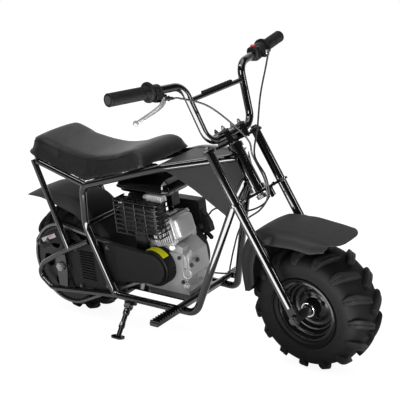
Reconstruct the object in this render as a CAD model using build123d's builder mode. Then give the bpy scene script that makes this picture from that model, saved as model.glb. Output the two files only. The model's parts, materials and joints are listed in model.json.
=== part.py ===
from math import acos, cos, degrees, radians, sin, sqrt
import os

from build123d import *

os.makedirs("parts", exist_ok=True)

# The bike is drawn upright with the wheel axles on Z = 0: +X to the front wheel, -Y the drive and stand side.
# Places are measured from the axle, crankshaft or fork that carries them. It leans onto its stand at the end.
# All sizes are millimetres and degrees.

# Wheels
wheelbase = 872
tyre_radius = 181
tyre_width = 148
lug_height = 11
lug_count = 15
rim_radius = 82
axle_dia = 16
axle_fit = 0.08
lean = 9.92

# Fork and steering head, heights measured up the fork from the front axle
rake = 27.8
leg_gap = 33
leg_dia = 26
leg_top = 491
lower_clamp = 340
clamp_thickness = 7
head_dia = 36
head_low = 350
head_high = 482
stem_dia = 20

# Handlebar
bar_dia = 22.2
bar_width = 748
crossbar_dia = 14
grip_length = 134
grip_dia = 33

# Frame
side_gap = 36
main_dia = 22
rear_dia = 17
rail_dia = 19
cross_dia = 18
sheet = 3
touch = 0.3
seat_half = 116

# Drive
crank_reach = 364
crank_z = 47
sprocket_radius = 126
sprocket_inset = 24
chain_clearance = 5
tooth_count = 60
clutch_radius = 57
clutch_pitch = 26
brake_radius = 70
brake_inset = 26

# Side stand
stand_reach = 268
stand_drop = 85
stand_leg_dia = 15
stand_width = 192

# Values that follow from the sizes above
front_x = wheelbase / 2
rear_x = -wheelbase / 2
half_tread = tyre_width / 2
rim_half = half_tread - 18
hub_half = half_tread - 28
leg_y = half_tread + leg_gap
frame_half = half_tread + side_gap
sprocket_y = sprocket_inset - frame_half
brake_y = frame_half - brake_inset
crank_x = rear_x + crank_reach
bore_radius = axle_dia / 2 + axle_fit

bike = Location((0, 0, 0))
fork_rise = (-sin(radians(rake)), 0, cos(radians(rake)))
fork_plane = Plane(origin=(front_x, 0, 0), x_dir=(0, 1, 0), z_dir=fork_rise)
fork = Location(fork_plane)
front_hub = Location((front_x, 0, 0))
rear_hub = Location((rear_x, 0, 0))
pieces = []


def keep(builder, label, place=bike):
    """Name a finished piece and set it down in the upright bike."""
    builder.part.label = label
    pieces.append((builder.part, place))


def other_side(points):
    """The same route on the +Y side of the bike."""
    return [(x, -y, z) for x, y, z in points]


def by_fork(across, behind, up):
    """A point measured from the front axle: across the bike, behind the fork and up along it."""
    return tuple(fork_plane.from_local_coords(Vector(across, behind, up)))


def tube(points, bends, diameter):
    """A round tube along straight runs joined by bends."""
    with BuildPart() as run:
        with BuildLine() as route:
            if bends:
                FilletPolyline(*points, radius=bends)
            else:
                Polyline(*points)
        with BuildSketch(Plane(origin=route.line @ 0, z_dir=route.line % 0)):
            Circle(diameter / 2)
        sweep(path=route.line)
    return run.part


def plate(outline, low_y, high_y):
    """A flat plate between two Y values, from its (x, z) outline."""
    with BuildPart() as flat:
        with BuildSketch(Plane.XZ.offset(-high_y)):
            with BuildLine():
                Polyline(*outline, close=True)
            make_face()
        extrude(amount=high_y - low_y)
    return flat.part


def disc(x, z, low_y, high_y, radius):
    """A short cylinder along Y."""
    with BuildPart() as round_piece:
        with BuildSketch(Plane.XZ.offset(-high_y)):
            with Locations((x, z)):
                Circle(radius)
        extrude(amount=high_y - low_y)
    return round_piece.part


def block(low, high):
    """A box between its lowest and highest corners."""
    size = [b - a for a, b in zip(low, high)]
    with BuildPart() as cuboid:
        with Locations(((low[0] + high[0]) / 2, (low[1] + high[1]) / 2, (low[2] + high[2]) / 2)):
            Box(*size)
    return cuboid.part


def moved(points, x, z):
    """An (x, z) outline measured from a place on the bike."""
    return [(x + a, z + b) for a, b in points]


# Tyres: a rounded carcass with chevron lugs whose points lead at the top
crown = tyre_radius - lug_height
lug_plan = [(13, 5), (-2, 5), (-30, half_tread - 20), (-34, half_tread), (-14, half_tread),
            (-10, half_tread - 20)]
lug_section = [(0, crown - 30), (0, tyre_radius), (24, tyre_radius - 2), (44, tyre_radius - 6.5),
               (half_tread - 14, tyre_radius - 13), (half_tread, tyre_radius - 32), (half_tread, crown - 32)]
lug_phase = 2.2


def tyre_body():
    """The carcass ring and its lugs, around the Y axis."""
    bead = (rim_half, rim_radius + 8)
    wall = (half_tread - 2, rim_radius + 45)
    shoulder = (half_tread - 14, crown - 12)
    with BuildPart() as ring:
        with BuildSketch(Plane.YZ):
            with BuildLine():
                Polyline((-bead[0], bead[1]), (-rim_half, rim_radius), (rim_half, rim_radius), bead)
                ThreePointArc(bead, wall, shoulder)
                ThreePointArc(shoulder, (0, crown), (-shoulder[0], shoulder[1]))
                ThreePointArc((-shoulder[0], shoulder[1]), (-wall[0], wall[1]), (-bead[0], bead[1]))
            make_face()
        revolve(axis=Axis.Y)
    with BuildPart() as lug:
        with BuildSketch(Plane.XY.offset(crown - 34)):
            with BuildLine():
                Polyline(*lug_plan, close=True)
            make_face()
        extrude(amount=lug_height + 34)
        with BuildSketch(Plane.YZ.offset(-50)):
            with BuildLine():
                Polyline(*lug_section, close=True)
            make_face()
        extrude(amount=100, mode=Mode.INTERSECT)
    step = 360 / lug_count
    other_lug = mirror(lug.part, about=Plane.XZ)
    with BuildPart() as whole:
        add(ring.part)
        add([Rot(0, lug_phase + step * (turn + 0.5), 0) * lug.part for turn in range(lug_count)])
        add([Rot(0, lug_phase + step * turn, 0) * other_lug for turn in range(lug_count)])
    return whole.part


tyre_shape = tyre_body()

# Rim: outer flanges, stepped dish towards the drive side, and hub, as (distance across, radius)
rim_outline = [
    (-rim_half - 4, rim_radius + 7), (-rim_half - touch, rim_radius + 7), (-rim_half - touch, rim_radius),
    (rim_half + touch, rim_radius), (rim_half + touch, rim_radius + 7), (rim_half + 4, rim_radius + 7),
    (rim_half + 4, rim_radius - 4), (-2, rim_radius - 12), (-2, 52), (-8, 40), (-8, 24), (hub_half, 22),
    (hub_half, bore_radius), (-hub_half, bore_radius), (-hub_half, 22), (-16, 24), (-16, 40), (-10, 52),
    (-14, rim_radius - 20), (-24, rim_radius - 17), (-24, rim_radius - 12), (16 - rim_half, rim_radius - 9),
    (16 - rim_half, rim_radius - 5), (-rim_half - 4, rim_radius - 3),
]
for wheel, place in (("front", front_hub), ("rear", rear_hub)):
    with BuildPart() as tyre:
        add(tyre_shape)
    keep(tyre, f"{wheel}_tyre", place)
    with BuildPart() as rim:
        with BuildSketch(Plane.YZ):
            with BuildLine():
                Polyline(*rim_outline, close=True)
            make_face()
        revolve(axis=Axis.Y)
    keep(rim, f"{wheel}_rim", place)

# Rear sprocket, fixed to the hub's drive side
sprocket_sheet = 4
root_radius = sprocket_radius - 5
with BuildPart() as sprocket:
    with BuildSketch(Plane.XZ.offset(-sprocket_y - sprocket_sheet / 2)):
        Circle(root_radius)
        with PolarLocations(root_radius + 1, tooth_count):
            Rectangle(8, 5)
        Circle(30, mode=Mode.SUBTRACT)
        with PolarLocations(78, 6):
            Circle(22, mode=Mode.SUBTRACT)
    extrude(amount=sprocket_sheet)
    with BuildSketch(Plane.XZ.offset(hub_half)):
        Circle(38)
        Circle(bore_radius, mode=Mode.SUBTRACT)
    extrude(amount=-sprocket_y - sprocket_sheet / 2 - hub_half)
keep(sprocket, "sprocket", rear_hub)

# Brake disc on the far side of the rear hub
with BuildPart() as brake_disc:
    with BuildSketch(Plane.XZ.offset(-brake_y)):
        Circle(brake_radius)
        Circle(24, mode=Mode.SUBTRACT)
        with PolarLocations(brake_radius - 18, 12):
            Circle(5, mode=Mode.SUBTRACT)
    extrude(amount=3)
    with BuildSketch(Plane.XZ.offset(-brake_y)):
        Circle(32)
        Circle(bore_radius, mode=Mode.SUBTRACT)
    extrude(amount=brake_y - hub_half)
keep(brake_disc, "brake_disc", rear_hub)

# Head tube with its bearing cups
cup_reach = 5
with BuildPart() as head_tube:
    with BuildSketch(Plane.XY.offset(head_low)):
        Circle(head_dia / 2)
    extrude(amount=head_high - head_low)
    with BuildSketch(Plane.XY.offset(head_low - cup_reach), Plane.XY.offset(head_high - 9)):
        Circle(head_dia / 2 + 4)
    extrude(amount=14)
    with BuildSketch(Plane.XY.offset(head_low - cup_reach)):
        Circle(stem_dia / 2 + axle_fit)
    extrude(amount=head_high - head_low + 2 * cup_reach, mode=Mode.SUBTRACT)
keep(head_tube, "head_tube", fork)
head_solid = fork * Part(head_tube.part.wrapped)
with BuildPart() as head_core_builder:
    with BuildSketch(Plane.XY.offset(head_low - cup_reach)):
        Circle(head_dia / 2)
    extrude(amount=head_high - head_low + 2 * cup_reach)
head_core = fork * head_core_builder.part

# Side loops: top rail from the neck, down behind the engine, along the bottom and up to the neck
neck_top = by_fork(-29, -7, head_high - 31)
seat_front = (rear_x + 456, 12 - frame_half, 371)
seat_rear = (rear_x + 146, -frame_half, 285)
upright_knee = (rear_x + 135, -frame_half, 161)
low_rear = (rear_x + 219, -frame_half, -56)
low_front = (rear_x + 524, 10 - frame_half, -60)
neck_low = by_fork(-27, 70, head_low - 3)
neck_end = by_fork(-20, 6.5, head_low + 37)
loop_right = [neck_top, seat_front, seat_rear, upright_knee, low_rear, low_front, neck_low, neck_end]
loop_bends = [150, 38, 60, 32, 38, 60]
loop_tubes = {
    "right": tube(loop_right, loop_bends, main_dia),
    "left": tube(other_side(loop_right), loop_bends, main_dia),
}
for side in loop_tubes:
    with BuildPart() as side_loop:
        add(loop_tubes[side])
        add(head_core, mode=Mode.SUBTRACT)
        add(head_solid, mode=Mode.SUBTRACT)
    loop_tubes[side] = side_loop.part
    keep(side_loop, f"side_loop_{side}")
both_loops = list(loop_tubes.values())

# Rear loops round the axle, each with its slotted axle plate, as (x, z) from the rear axle
rear_outline = [(136, 105), (5, 47), (-84, -3), (-114, -45), (-61, -86), (222, -57)]
rear_bends = [60, 30, 26, 30]
plate_outline = [(-22, -69), (14, -69), (24, -12), (24, 43), (-22, 33)]
rear_loops = {}
for side, sign in (("right", -1), ("left", 1)):
    middle = sign * frame_half
    loop = tube([(x, middle, z) for x, z in moved(rear_outline, rear_x, 0)], rear_bends, rear_dia)
    with BuildPart() as rear_loop:
        add(loop)
        add(plate(moved(plate_outline, rear_x, 0), middle - sheet, middle + sheet))
        add(disc(rear_x, 0, middle - 4, middle + 4, axle_dia / 2), mode=Mode.SUBTRACT)
        add(loop_tubes[side], mode=Mode.SUBTRACT)
    rear_loops[side] = rear_loop.part
    keep(rear_loop, f"rear_loop_{side}")
both_rear_loops = list(rear_loops.values())

# Seat rail: a U behind the seat with a stay down to each rear loop
hoop_half = frame_half - 3
hoop_right = [(rear_x + 160, -frame_half, 289), (rear_x - 60, -hoop_half, 349)]
stay_right = [(rear_x - 54, -hoop_half, 346), (rear_x + 44, -frame_half, 65)]
with BuildPart() as seat_rail:
    add(tube(hoop_right + list(reversed(other_side(hoop_right))), [42, 42], rail_dia))
    add([tube(stay_right, None, rail_dia), tube(other_side(stay_right), None, rail_dia)])
    add(both_loops + both_rear_loops, mode=Mode.SUBTRACT)
keep(seat_rail, "seat_rail")

# Cross tubes between the two sides, named by what they carry: (x, z, diameter)
arch_x = rear_x + 140
arch_radius = tyre_radius + 31
cross_places = {
    "seat": (rear_x + 174, 292, cross_dia),
    "mudguard": (arch_x, sqrt(arch_radius**2 - (arch_x - rear_x) ** 2), cross_dia - 2),
    "engine_rear": (rear_x + 236, -56, cross_dia),
    "engine_front": (rear_x + 460, -59, cross_dia),
}
with BuildPart() as cross_runs:
    for x, z, diameter in cross_places.values():
        add(disc(x, z, -frame_half, frame_half, diameter / 2))
    add(both_loops + both_rear_loops + [seat_rail.part], mode=Mode.SUBTRACT)
with BuildPart() as cross_members:
    add([solid for solid in cross_runs.part.solids() if abs(solid.center().Y) < main_dia])
keep(cross_members, "cross_members")

# Engine plate resting on the two lower cross tubes
plate_z = -59 + cross_dia / 2 + 3.2
engine_floor = plate_z + 5
with BuildPart() as engine_plate:
    add(block((rear_x + 230, 4 - half_tread, plate_z), (rear_x + 470, half_tread - 4, engine_floor)))
keep(engine_plate, "engine_plate")

# Neck: dark side panels under the top rails and a flat cover between them
rail_run = Vector(*neck_top) - Vector(*seat_front)
panel_run = Vector(rail_run.X, rail_run.Y, 0).length
panel_plane = Plane(origin=(seat_front[0], seat_front[1], 0), x_dir=(rail_run.X, rail_run.Y, 0),
                    z_dir=(rail_run.Y, -rail_run.X, 0))
rail_low, rail_high = seat_front[2], neck_top[2]
panel_outline = [(0, rail_low), (panel_run, rail_high), (panel_run + 24, rail_high - 83),
                 (panel_run - 44, rail_high - 170), (92, rail_low - 62), (40, rail_low - 24)]
with BuildPart() as panel:
    with BuildSketch(panel_plane.offset(-sheet / 2)):
        with BuildLine():
            Polyline(*panel_outline, close=True)
        make_face()
    extrude(amount=sheet)
with BuildPart() as neck_panels:
    add([panel.part, mirror(panel.part, about=Plane.XZ)])
    add(both_loops + [head_core, head_solid], mode=Mode.SUBTRACT)
keep(neck_panels, "neck_panels")
cover_plane = Plane(origin=(neck_top[0], 0, neck_top[2]), x_dir=(rail_run.X, 0, rail_run.Z),
                    z_dir=(-rail_run.Z, 0, rail_run.X))
cover_back = Vector(rail_run.X, 0, rail_run.Z).length
with BuildPart() as neck_cover:
    with BuildSketch(cover_plane.offset(2)):
        with BuildLine():
            Polyline((-6, -28), (-6, 28), (-cover_back, frame_half - 13), (-24 - cover_back, frame_half - 13),
                     (-24 - cover_back, 13 - frame_half), (-cover_back, 13 - frame_half), close=True)
        make_face()
    extrude(amount=sheet)
    add(both_loops + [head_core, head_solid], mode=Mode.SUBTRACT)
keep(neck_cover, "neck_cover")

# Seat on its pan, as (x, z) from the rear axle
seat_under = moved([(-64, 367), (172, 309), (396, 389)], rear_x, 0)
seat_over = moved([(402, 409), (372, 415), (321, 406), (220, 389), (147, 388), (86, 397), (-8, 418), (-52, 421),
                   (-70, 397)], rear_x, 0)
with BuildPart() as seat:
    add(plate(seat_under + seat_over, -seat_half, seat_half))
    side_edges = seat.faces().sort_by(Axis.Y)[0].edges() + seat.faces().sort_by(Axis.Y)[-1].edges()
    chamfer(side_edges.filter_by(lambda edge: edge.center().Z > seat_over[4][1] - 3), length=12)
keep(seat, "seat")
(back_x, back_z), (dip_x, dip_z), (fore_x, fore_z) = [(x, z - touch) for x, z in seat_under]
pan_sheet = 5.5
with BuildPart() as seat_pan:
    add(plate([(back_x + 8, back_z - 2), (dip_x, dip_z), (fore_x - 8, fore_z - 2.9), (fore_x - 8, fore_z - 8),
               (dip_x, dip_z - pan_sheet), (back_x + 10, back_z - 8)], 16 - frame_half, frame_half - 16))
    for side in (-1, 1):
        edge_y = side * (frame_half - 15)
        add(block((rear_x + 356, edge_y - 9, 349), (rear_x + 376, edge_y + 9, 372)))
    add(both_loops + [seat_rail.part, neck_cover.part, cross_members.part], mode=Mode.SUBTRACT)
keep(seat_pan, "seat_pan")


def around(axle_x, table):
    """A mudguard's (x, z) line from rows of (angle round the axle, gap outside the tyre)."""
    line = []
    for angle, gap in table:
        reach = tyre_radius + gap
        line.append((axle_x + reach * cos(radians(angle)), reach * sin(radians(angle))))
    return line


def mudguard(line, bends, half, chamfer_width, drop):
    """A folded sheet, flat on top with sloping shoulders and side flaps, carried along its line."""
    outer = [(-half, -drop), (-half, -chamfer_width), (chamfer_width - half, 0)]
    inner = [(chamfer_width + 1 - half, -sheet), (sheet - half, -chamfer_width), (sheet - half, -drop)]
    outer += [(-y, z) for y, z in reversed(outer)]
    inner = [(-y, z) for y, z in reversed(inner)] + inner
    with BuildPart() as guard:
        with BuildLine() as route:
            FilletPolyline(*[(x, 0, z) for x, z in line], radius=bends)
        start = Plane(origin=route.line @ 0, x_dir=(0, 1, 0), z_dir=route.line % 0)
        with BuildSketch(start):
            with BuildLine():
                Polyline(*outer, *inner, close=True)
            make_face()
        sweep(path=route.line)
    return guard.part


# Mudguards: the rear one notched at its tail, the front one with a tab to each fork leg
rear_half = half_tread + 4
rear_line = around(rear_x, [(133, 107), (106, 55), (69.6, 37), (34.4, 30), (9.4, 22)])
tail_x, tail_z = rear_line[0]
with BuildPart() as rear_fender:
    add(mudguard(rear_line, [60, 60, 40], rear_half, 12, 34))
    for notch_y, notch_depth in ((rear_half - 12, 34), (rear_half - 30, 16)):
        for side in (-1, 1):
            low_y, high_y = sorted((side * notch_y, side * (rear_half + 2)))
            add(block((tail_x - 2, low_y, tail_z - 40), (tail_x + notch_depth, high_y, tail_z + 20)),
                mode=Mode.SUBTRACT)
    for side in (-1, 1):
        low_y, high_y = sorted((side * (rear_half - 1), side * (frame_half - 8)))
        add(block((rear_x - 16, low_y, tyre_radius + 6), (rear_x + 4, high_y, tyre_radius + 14)))
    add([cross_members.part, seat_rail.part], mode=Mode.SUBTRACT)
keep(rear_fender, "rear_fender")
front_half = half_tread + 6
front_line = around(front_x, [(174.6, 22), (149, 50), (121.2, 77.5), (105.8, 61), (69.9, 51), (54, 94.5)])
tab_out = leg_y - leg_dia / 2 - 0.4
tab_up = tyre_radius + 36
with BuildPart() as front_fender:
    add(mudguard(front_line, [70, 60, 90, 90], front_half, 18, 40))
    for side in (-1, 1):
        tab_low, tab_high = sorted((side * (tab_out - sheet), side * tab_out))
        boss_low, boss_high = sorted((side * (front_half - 1), side * tab_out))
        boss = by_fork(0, -26, tab_up)
        leg = by_fork(0, 0, tab_up + 14)
        add(disc(boss[0], boss[2], boss_low, boss_high, 8))
        add(plate([(leg[0] - 16, leg[2] - 7), (boss[0] + 8, leg[2] - 7), (boss[0] + 8, leg[2] + 7),
                   (leg[0] - 16, leg[2] + 7)], tab_low, tab_high))
keep(front_fender, "front_fender")

# Engine, measured from the crankshaft: crankcase with its side cover, filler neck and clutch shaft
case_half = 42
case_outline = [(-68, engine_floor - crank_z), (92, engine_floor - crank_z), (92, engine_floor - crank_z + 12),
                (80, -70), (98, -28), (94, 34), (52, 68), (-50, 68), (-68, 22), (-60, -70),
                (-68, engine_floor - crank_z + 12)]
with BuildPart() as crankcase:
    add(plate(moved(case_outline, crank_x, crank_z), -case_half, 58))
    with BuildSketch(Plane.XZ.offset(case_half)):
        with Locations((crank_x + 52, crank_z - 4)):
            RectangleRounded(74, 96, 14)
    extrude(amount=9)
    with BuildSketch(Plane.YZ.offset(crank_x + 92)):
        with Locations((-8, crank_z - 6)):
            RectangleRounded(58, 44, 6)
    extrude(amount=8)
    with BuildSketch(Plane(origin=(crank_x + 82, 18, crank_z - 50), z_dir=(1, 0, 0.55))):
        Circle(15)
    extrude(amount=24)
    add(disc(crank_x, crank_z, sprocket_y - 7, -case_half, 10))
    add(disc(crank_x, crank_z, sprocket_y - 4, sprocket_y + 4, clutch_pitch - 2.7))
keep(crankcase, "crankcase")

# Cylinder leaning forward, with its fins, and the valve cover on its head
tilt = 15
cylinder_plane = Plane(origin=(crank_x - 46, -8, crank_z + 86), x_dir=(0, 1, 0),
                       z_dir=(cos(radians(tilt)), 0, sin(radians(tilt))))
cylinder_length = 112
fin_count, fin_pitch, fin_first = 6, 9, 58
with BuildPart() as cylinder:
    with BuildSketch(cylinder_plane):
        Rectangle(62, 60)
    extrude(amount=cylinder_length)
    with BuildSketch(*[cylinder_plane.offset(fin_first + fin_pitch * fin) for fin in range(fin_count)]):
        RectangleRounded(96, 84, 10)
    extrude(amount=3.5)
    add(crankcase.part, mode=Mode.SUBTRACT)
keep(cylinder, "cylinder")
with BuildPart() as valve_cover:
    with BuildSketch(cylinder_plane.offset(cylinder_length)):
        RectangleRounded(86, 72, 9)
    extrude(amount=6)
    with BuildSketch(cylinder_plane.offset(cylinder_length + 6)):
        RectangleRounded(76, 64, 8)
    extrude(amount=18, taper=4)
keep(valve_cover, "valve_cover")

# Fuel tank: lower shell, seam flange, steep band and a shallow faceted top, on two legs
tank_x, tank_z = crank_x - 30, crank_z + 218
tank_stages = [  # height above the tank's bottom, length, width, corner, amount, taper
    (0, 186, 122, 24, 14, -14),
    (14, 206, 142, 28, 4, 0),
    (18, 196, 132, 24, 18, 14),
    (36, 187, 123, 20, 18, 52),
]
with BuildPart() as engine_tank:
    for height, length, width, corner, amount, taper in tank_stages:
        with BuildSketch(Plane.XY.offset(tank_z + height)):
            with Locations((tank_x, 0)):
                RectangleRounded(length, width, corner)
        extrude(amount=amount, taper=taper)
    for leg_x in (tank_x - 48, tank_x + 42):
        add(block((leg_x - 12, -14, crank_z + 102), (leg_x + 12, 40, tank_z)))
    add([cylinder.part, crankcase.part, valve_cover.part], mode=Mode.SUBTRACT)
keep(engine_tank, "engine_tank")

# Silencer box and its louvred cage
box_x, box_z = crank_x - 26, crank_z + 156
cage_length, cage_height, cage_wall = 170, 106, 2.5
cage_outer, cage_inner = -104, -54
with BuildPart() as muffler:
    with BuildSketch(Plane.XZ.offset(58)):
        with Locations((box_x, box_z)):
            RectangleRounded(140, 84, 16)
    extrude(amount=34)
    add(disc(crank_x + 2, crank_z + 124, -64, -30, 12))
    add([cylinder.part, engine_tank.part], mode=Mode.SUBTRACT)
keep(muffler, "muffler")
with BuildPart() as muffler_guard:
    with BuildSketch(Plane.XZ.offset(-cage_outer - 3)):
        with Locations((box_x, box_z)):
            RectangleRounded(cage_length, cage_height, 8)
            with GridLocations(40, 14, 4, 7):
                Rectangle(35, 9.5, mode=Mode.SUBTRACT)
    extrude(amount=3)
    with BuildSketch(Plane.XZ.offset(-cage_inner)):
        with Locations((box_x, box_z)):
            RectangleRounded(cage_length, cage_height, 8)
            RectangleRounded(cage_length - 2 * cage_wall, cage_height - 2 * cage_wall, 6, mode=Mode.SUBTRACT)
    extrude(amount=cage_inner - cage_outer - 3)
    with BuildSketch(Plane.XY.offset(box_z + cage_height / 2 - cage_wall - 1)):
        with Locations((box_x, (cage_outer + cage_inner) / 2)):
            with GridLocations(24, 18, 6, 2):
                SlotOverall(18, 9)
    extrude(amount=cage_wall + 2, mode=Mode.SUBTRACT)
    add([cylinder.part, engine_tank.part, valve_cover.part], mode=Mode.SUBTRACT)
keep(muffler_guard, "muffler_guard")

# Recoil starter housing on the far side, with the ear that carries its plug
recoil_x = crank_x - 8
ear_outline = [(40, 126), (62, 128), (86, 90), (92, 64), (60, 52), (36, 70)]
with BuildPart() as recoil_starter:
    with BuildSketch(Plane.XZ.offset(-58)):
        with Locations((recoil_x, crank_z)):
            Circle(92)
        with Locations((crank_x + 2, crank_z + 112)):
            Rectangle(110, 90)
    extrude(amount=-34)
    with BuildSketch(Plane.XZ.offset(-92)):
        with Locations((recoil_x, crank_z)):
            Circle(74)
    extrude(amount=-14, taper=12)
    add(plate(moved(ear_outline, crank_x, crank_z), 74, 92))
    add(disc(crank_x + 70, crank_z + 84, 64, 74, 9))
    add([engine_tank.part, engine_plate.part, cylinder.part, crankcase.part], mode=Mode.SUBTRACT)
keep(recoil_starter, "recoil_starter")
with BuildPart() as air_filter:
    add(block((crank_x - 124, -30, crank_z + 118), (crank_x - 28, 44, crank_z + 200)))
    fillet(air_filter.edges().filter_by(Axis.Z), radius=10)
    add([cylinder.part, engine_tank.part, crankcase.part, recoil_starter.part, muffler_guard.part,
         muffler.part], mode=Mode.SUBTRACT)
keep(air_filter, "air_filter")


def chain_band(grow):
    """The chain's closed run round both sprockets, grown from its pitch line."""
    with BuildSketch(Plane.XZ) as band:
        with Locations((rear_x, 0)):
            Circle(sprocket_radius + chain_clearance + grow)
        with Locations((crank_x, crank_z)):
            Circle(clutch_pitch + grow)
        make_hull()
    return band.sketch


# Drive cover: slotted clutch drum and tapering face cover, open towards the wheel
guard_face = sprocket_y - 11
guard_back = sprocket_y + 7
cover_wall = 2.5
cover_end_x = crank_x - 168


def cover_outline(inset):
    """Tapering outline of the drive cover, moved in by a wall."""
    with BuildSketch(Plane.XZ) as outline:
        with Locations((crank_x + 2, crank_z)):
            Circle(clutch_radius - 9)
        with Locations((cover_end_x, crank_z - 6)):
            Rectangle(30, 124)
        make_hull()
        if inset:
            offset(amount=-inset, mode=Mode.REPLACE)
    return outline.sketch


with BuildPart() as clutch_guard:
    with BuildSketch(Plane.XZ.offset(case_half + touch)):
        with Locations((crank_x + 4, crank_z)):
            Circle(clutch_radius)
            with PolarLocations(clutch_radius, 24):
                Rectangle(5, 3, mode=Mode.SUBTRACT)
    extrude(amount=-sprocket_y - 2 - case_half)
    with BuildSketch(Plane.XZ.offset(-sprocket_y - 6)):
        with Locations((crank_x + 4, crank_z)):
            Circle(clutch_radius)
    extrude(amount=10)
    extrude(Pos(0, guard_back, 0) * cover_outline(0), amount=guard_back - guard_face)
    extrude(Pos(0, guard_back + 3, 0) * cover_outline(cover_wall), amount=guard_back + 3 - guard_face - cover_wall,
            mode=Mode.SUBTRACT)
    extrude(Pos(0, guard_back + 1, 0) * chain_band(7), amount=guard_back + 1 - guard_face - cover_wall,
            mode=Mode.SUBTRACT)
    with BuildSketch(Plane.XZ.offset(-guard_face - 1)):
        with Locations((cover_end_x + 14, crank_z + 2)):
            with GridLocations(1, 8, 1, 11):
                Rectangle(34, 2.5)
    extrude(amount=2, mode=Mode.SUBTRACT)
    add([loop_tubes["right"], crankcase.part, engine_plate.part, muffler_guard.part], mode=Mode.SUBTRACT)
keep(clutch_guard, "clutch_guard")

# Chain guard: louvred panel inside the rear loop and the slotted blade over the sprocket, from the rear axle
panel_y = main_dia / 2 - frame_half + touch
louvre_panel = [(0, 73), (160, 91), (178, 57), (178, -25), (200, -29), (214, -51), (36, -69)]
upper_blade = [(-116, 62), (-67, 97), (-4, 115), (36, 111), (32, 69), (-34, 69), (-84, 41)]
with BuildPart() as chain_guard:
    with BuildSketch(Plane.XZ.offset(-panel_y - sheet)):
        for outline in (louvre_panel, upper_blade):
            with BuildLine():
                Polyline(*moved(outline, rear_x, 0), close=True)
            make_face()
        with Locations((rear_x + 106, 15)):
            with GridLocations(1, 9, 1, 11):
                Rectangle(58, 3.5, mode=Mode.SUBTRACT)
    extrude(amount=sheet)
keep(chain_guard, "chain_guard")
with BuildPart() as drive_chain:
    for chain_y in (sprocket_y + 6.2, sprocket_y - 4.2):
        extrude(Pos(0, chain_y, 0) * chain_band(4), amount=2)
        extrude(Pos(0, chain_y, 0) * chain_band(-3.2), amount=2, mode=Mode.SUBTRACT)
    extrude(Pos(0, sprocket_y + 5, 0) * chain_band(2.4), amount=10)
    extrude(Pos(0, sprocket_y + 5, 0) * chain_band(-2.4), amount=10, mode=Mode.SUBTRACT)
keep(drive_chain, "drive_chain")

# Rear axle with spacers and nuts, brake caliper over the disc
with BuildPart() as rear_axle:
    add(disc(rear_x, 0, -frame_half - 16, frame_half + 16, axle_dia / 2))
    for side, hub_face in ((-1, sprocket_sheet / 2 - sprocket_y), (1, brake_y)):
        low_y, high_y = sorted((side * (hub_face + 0.6), side * (frame_half - sheet)))
        add(disc(rear_x, 0, low_y, high_y, 14))
        with BuildSketch(Plane.XZ.offset(-side * (frame_half + sheet))):
            with Locations((rear_x, 0)):
                RegularPolygon(14, 6)
        extrude(amount=-side * 10)
keep(rear_axle, "rear_axle")
caliper_x, caliper_z = rear_x + 63, 58
with BuildPart() as brake_caliper:
    add(block((caliper_x - 21, brake_y - 8, caliper_z - 25), (caliper_x + 21, brake_y + 14, caliper_z + 25)))
    fillet(brake_caliper.edges().filter_by(Axis.Y), radius=6)
    add(block((caliper_x - 13, brake_y + 13, caliper_z + 7), (caliper_x + 15, frame_half - 8.8, caliper_z + 23)))
    add(block((caliper_x - 47, brake_y - 6, caliper_z - 39), (caliper_x + 73, brake_y + 3, caliper_z + 13)),
        mode=Mode.SUBTRACT)
    add([rear_loops["left"], seat_rail.part, brake_disc.part.moved(rear_hub)], mode=Mode.SUBTRACT)
keep(brake_caliper, "brake_caliper")

# Toothed footpegs on a bar across the two lower rails
peg_x, peg_z = rear_x + 482, -39
peg_in, peg_out = frame_half + 14, frame_half + 128
with BuildPart() as footpegs:
    add(disc(peg_x, peg_z, -peg_in - 4, peg_in + 4, 9))
    for side in (-1, 1):
        low_y, high_y = sorted((side * peg_in, side * peg_out))
        add(block((peg_x - 14, low_y, peg_z - 9), (peg_x + 14, high_y, peg_z + 2)))
        for tooth in range(10):
            tooth_y = side * (peg_in + 10 + 11 * tooth)
            add(block((peg_x - 14, tooth_y - 2.5, peg_z + 2), (peg_x + 14, tooth_y + 2.5, peg_z + 7)))
    add(both_loops, mode=Mode.SUBTRACT)
keep(footpegs, "footpegs")

# Ground under the leaned bike, from the lowest point of a tyre
lean_turn = Location((0, 0, 0), (lean, 0, 0))
ground_z = (lean_turn * front_hub * tyre_shape).bounding_box().min.Z
lean_sin, lean_cos = sin(radians(lean)), cos(radians(lean))

# Side stand: pivot under the lower rail, foot flat on the ground, folding back along the rear loop
pivot = Vector(rear_x + stand_reach, -frame_half - 2, -stand_drop)
foot = Vector(pivot.X + 18, -stand_width, (ground_z + lean_sin * stand_width) / lean_cos)
stand_down = (foot - pivot).normalized()
stand_folded = Vector(-0.955, -0.27, -0.12).normalized()
stand_travel = degrees(acos(stand_down.dot(stand_folded)))
stand_axis = stand_down.cross(stand_folded).normalized()
stand_plane = Plane(origin=pivot, x_dir=stand_down, z_dir=stand_axis)
foot_plane = Plane(origin=foot, x_dir=(1, 0, 0), z_dir=(0, lean_sin, lean_cos))
eye_radius, eye_half, pin_radius = 11, 7, 5
with BuildPart() as side_stand:
    with BuildSketch(stand_plane.offset(-eye_half)):
        Circle(eye_radius)
    extrude(amount=2 * eye_half)
    with BuildSketch(Plane(origin=pivot + stand_down * 8, z_dir=stand_down)):
        Circle(stand_leg_dia / 2)
    extrude(amount=(foot - pivot).length - 12)
    with BuildSketch(foot_plane):
        SlotOverall(46, 26)
    extrude(amount=5)
    with BuildSketch(stand_plane.offset(-eye_half - 1)):
        Circle(pin_radius + axle_fit)
    extrude(amount=2 * eye_half + 2, mode=Mode.SUBTRACT)
    with BuildSketch(foot_plane.offset(-20)):
        Rectangle(80, 80)
    extrude(amount=20, mode=Mode.SUBTRACT)
keep(side_stand, "side_stand")
cheek = 3
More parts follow.
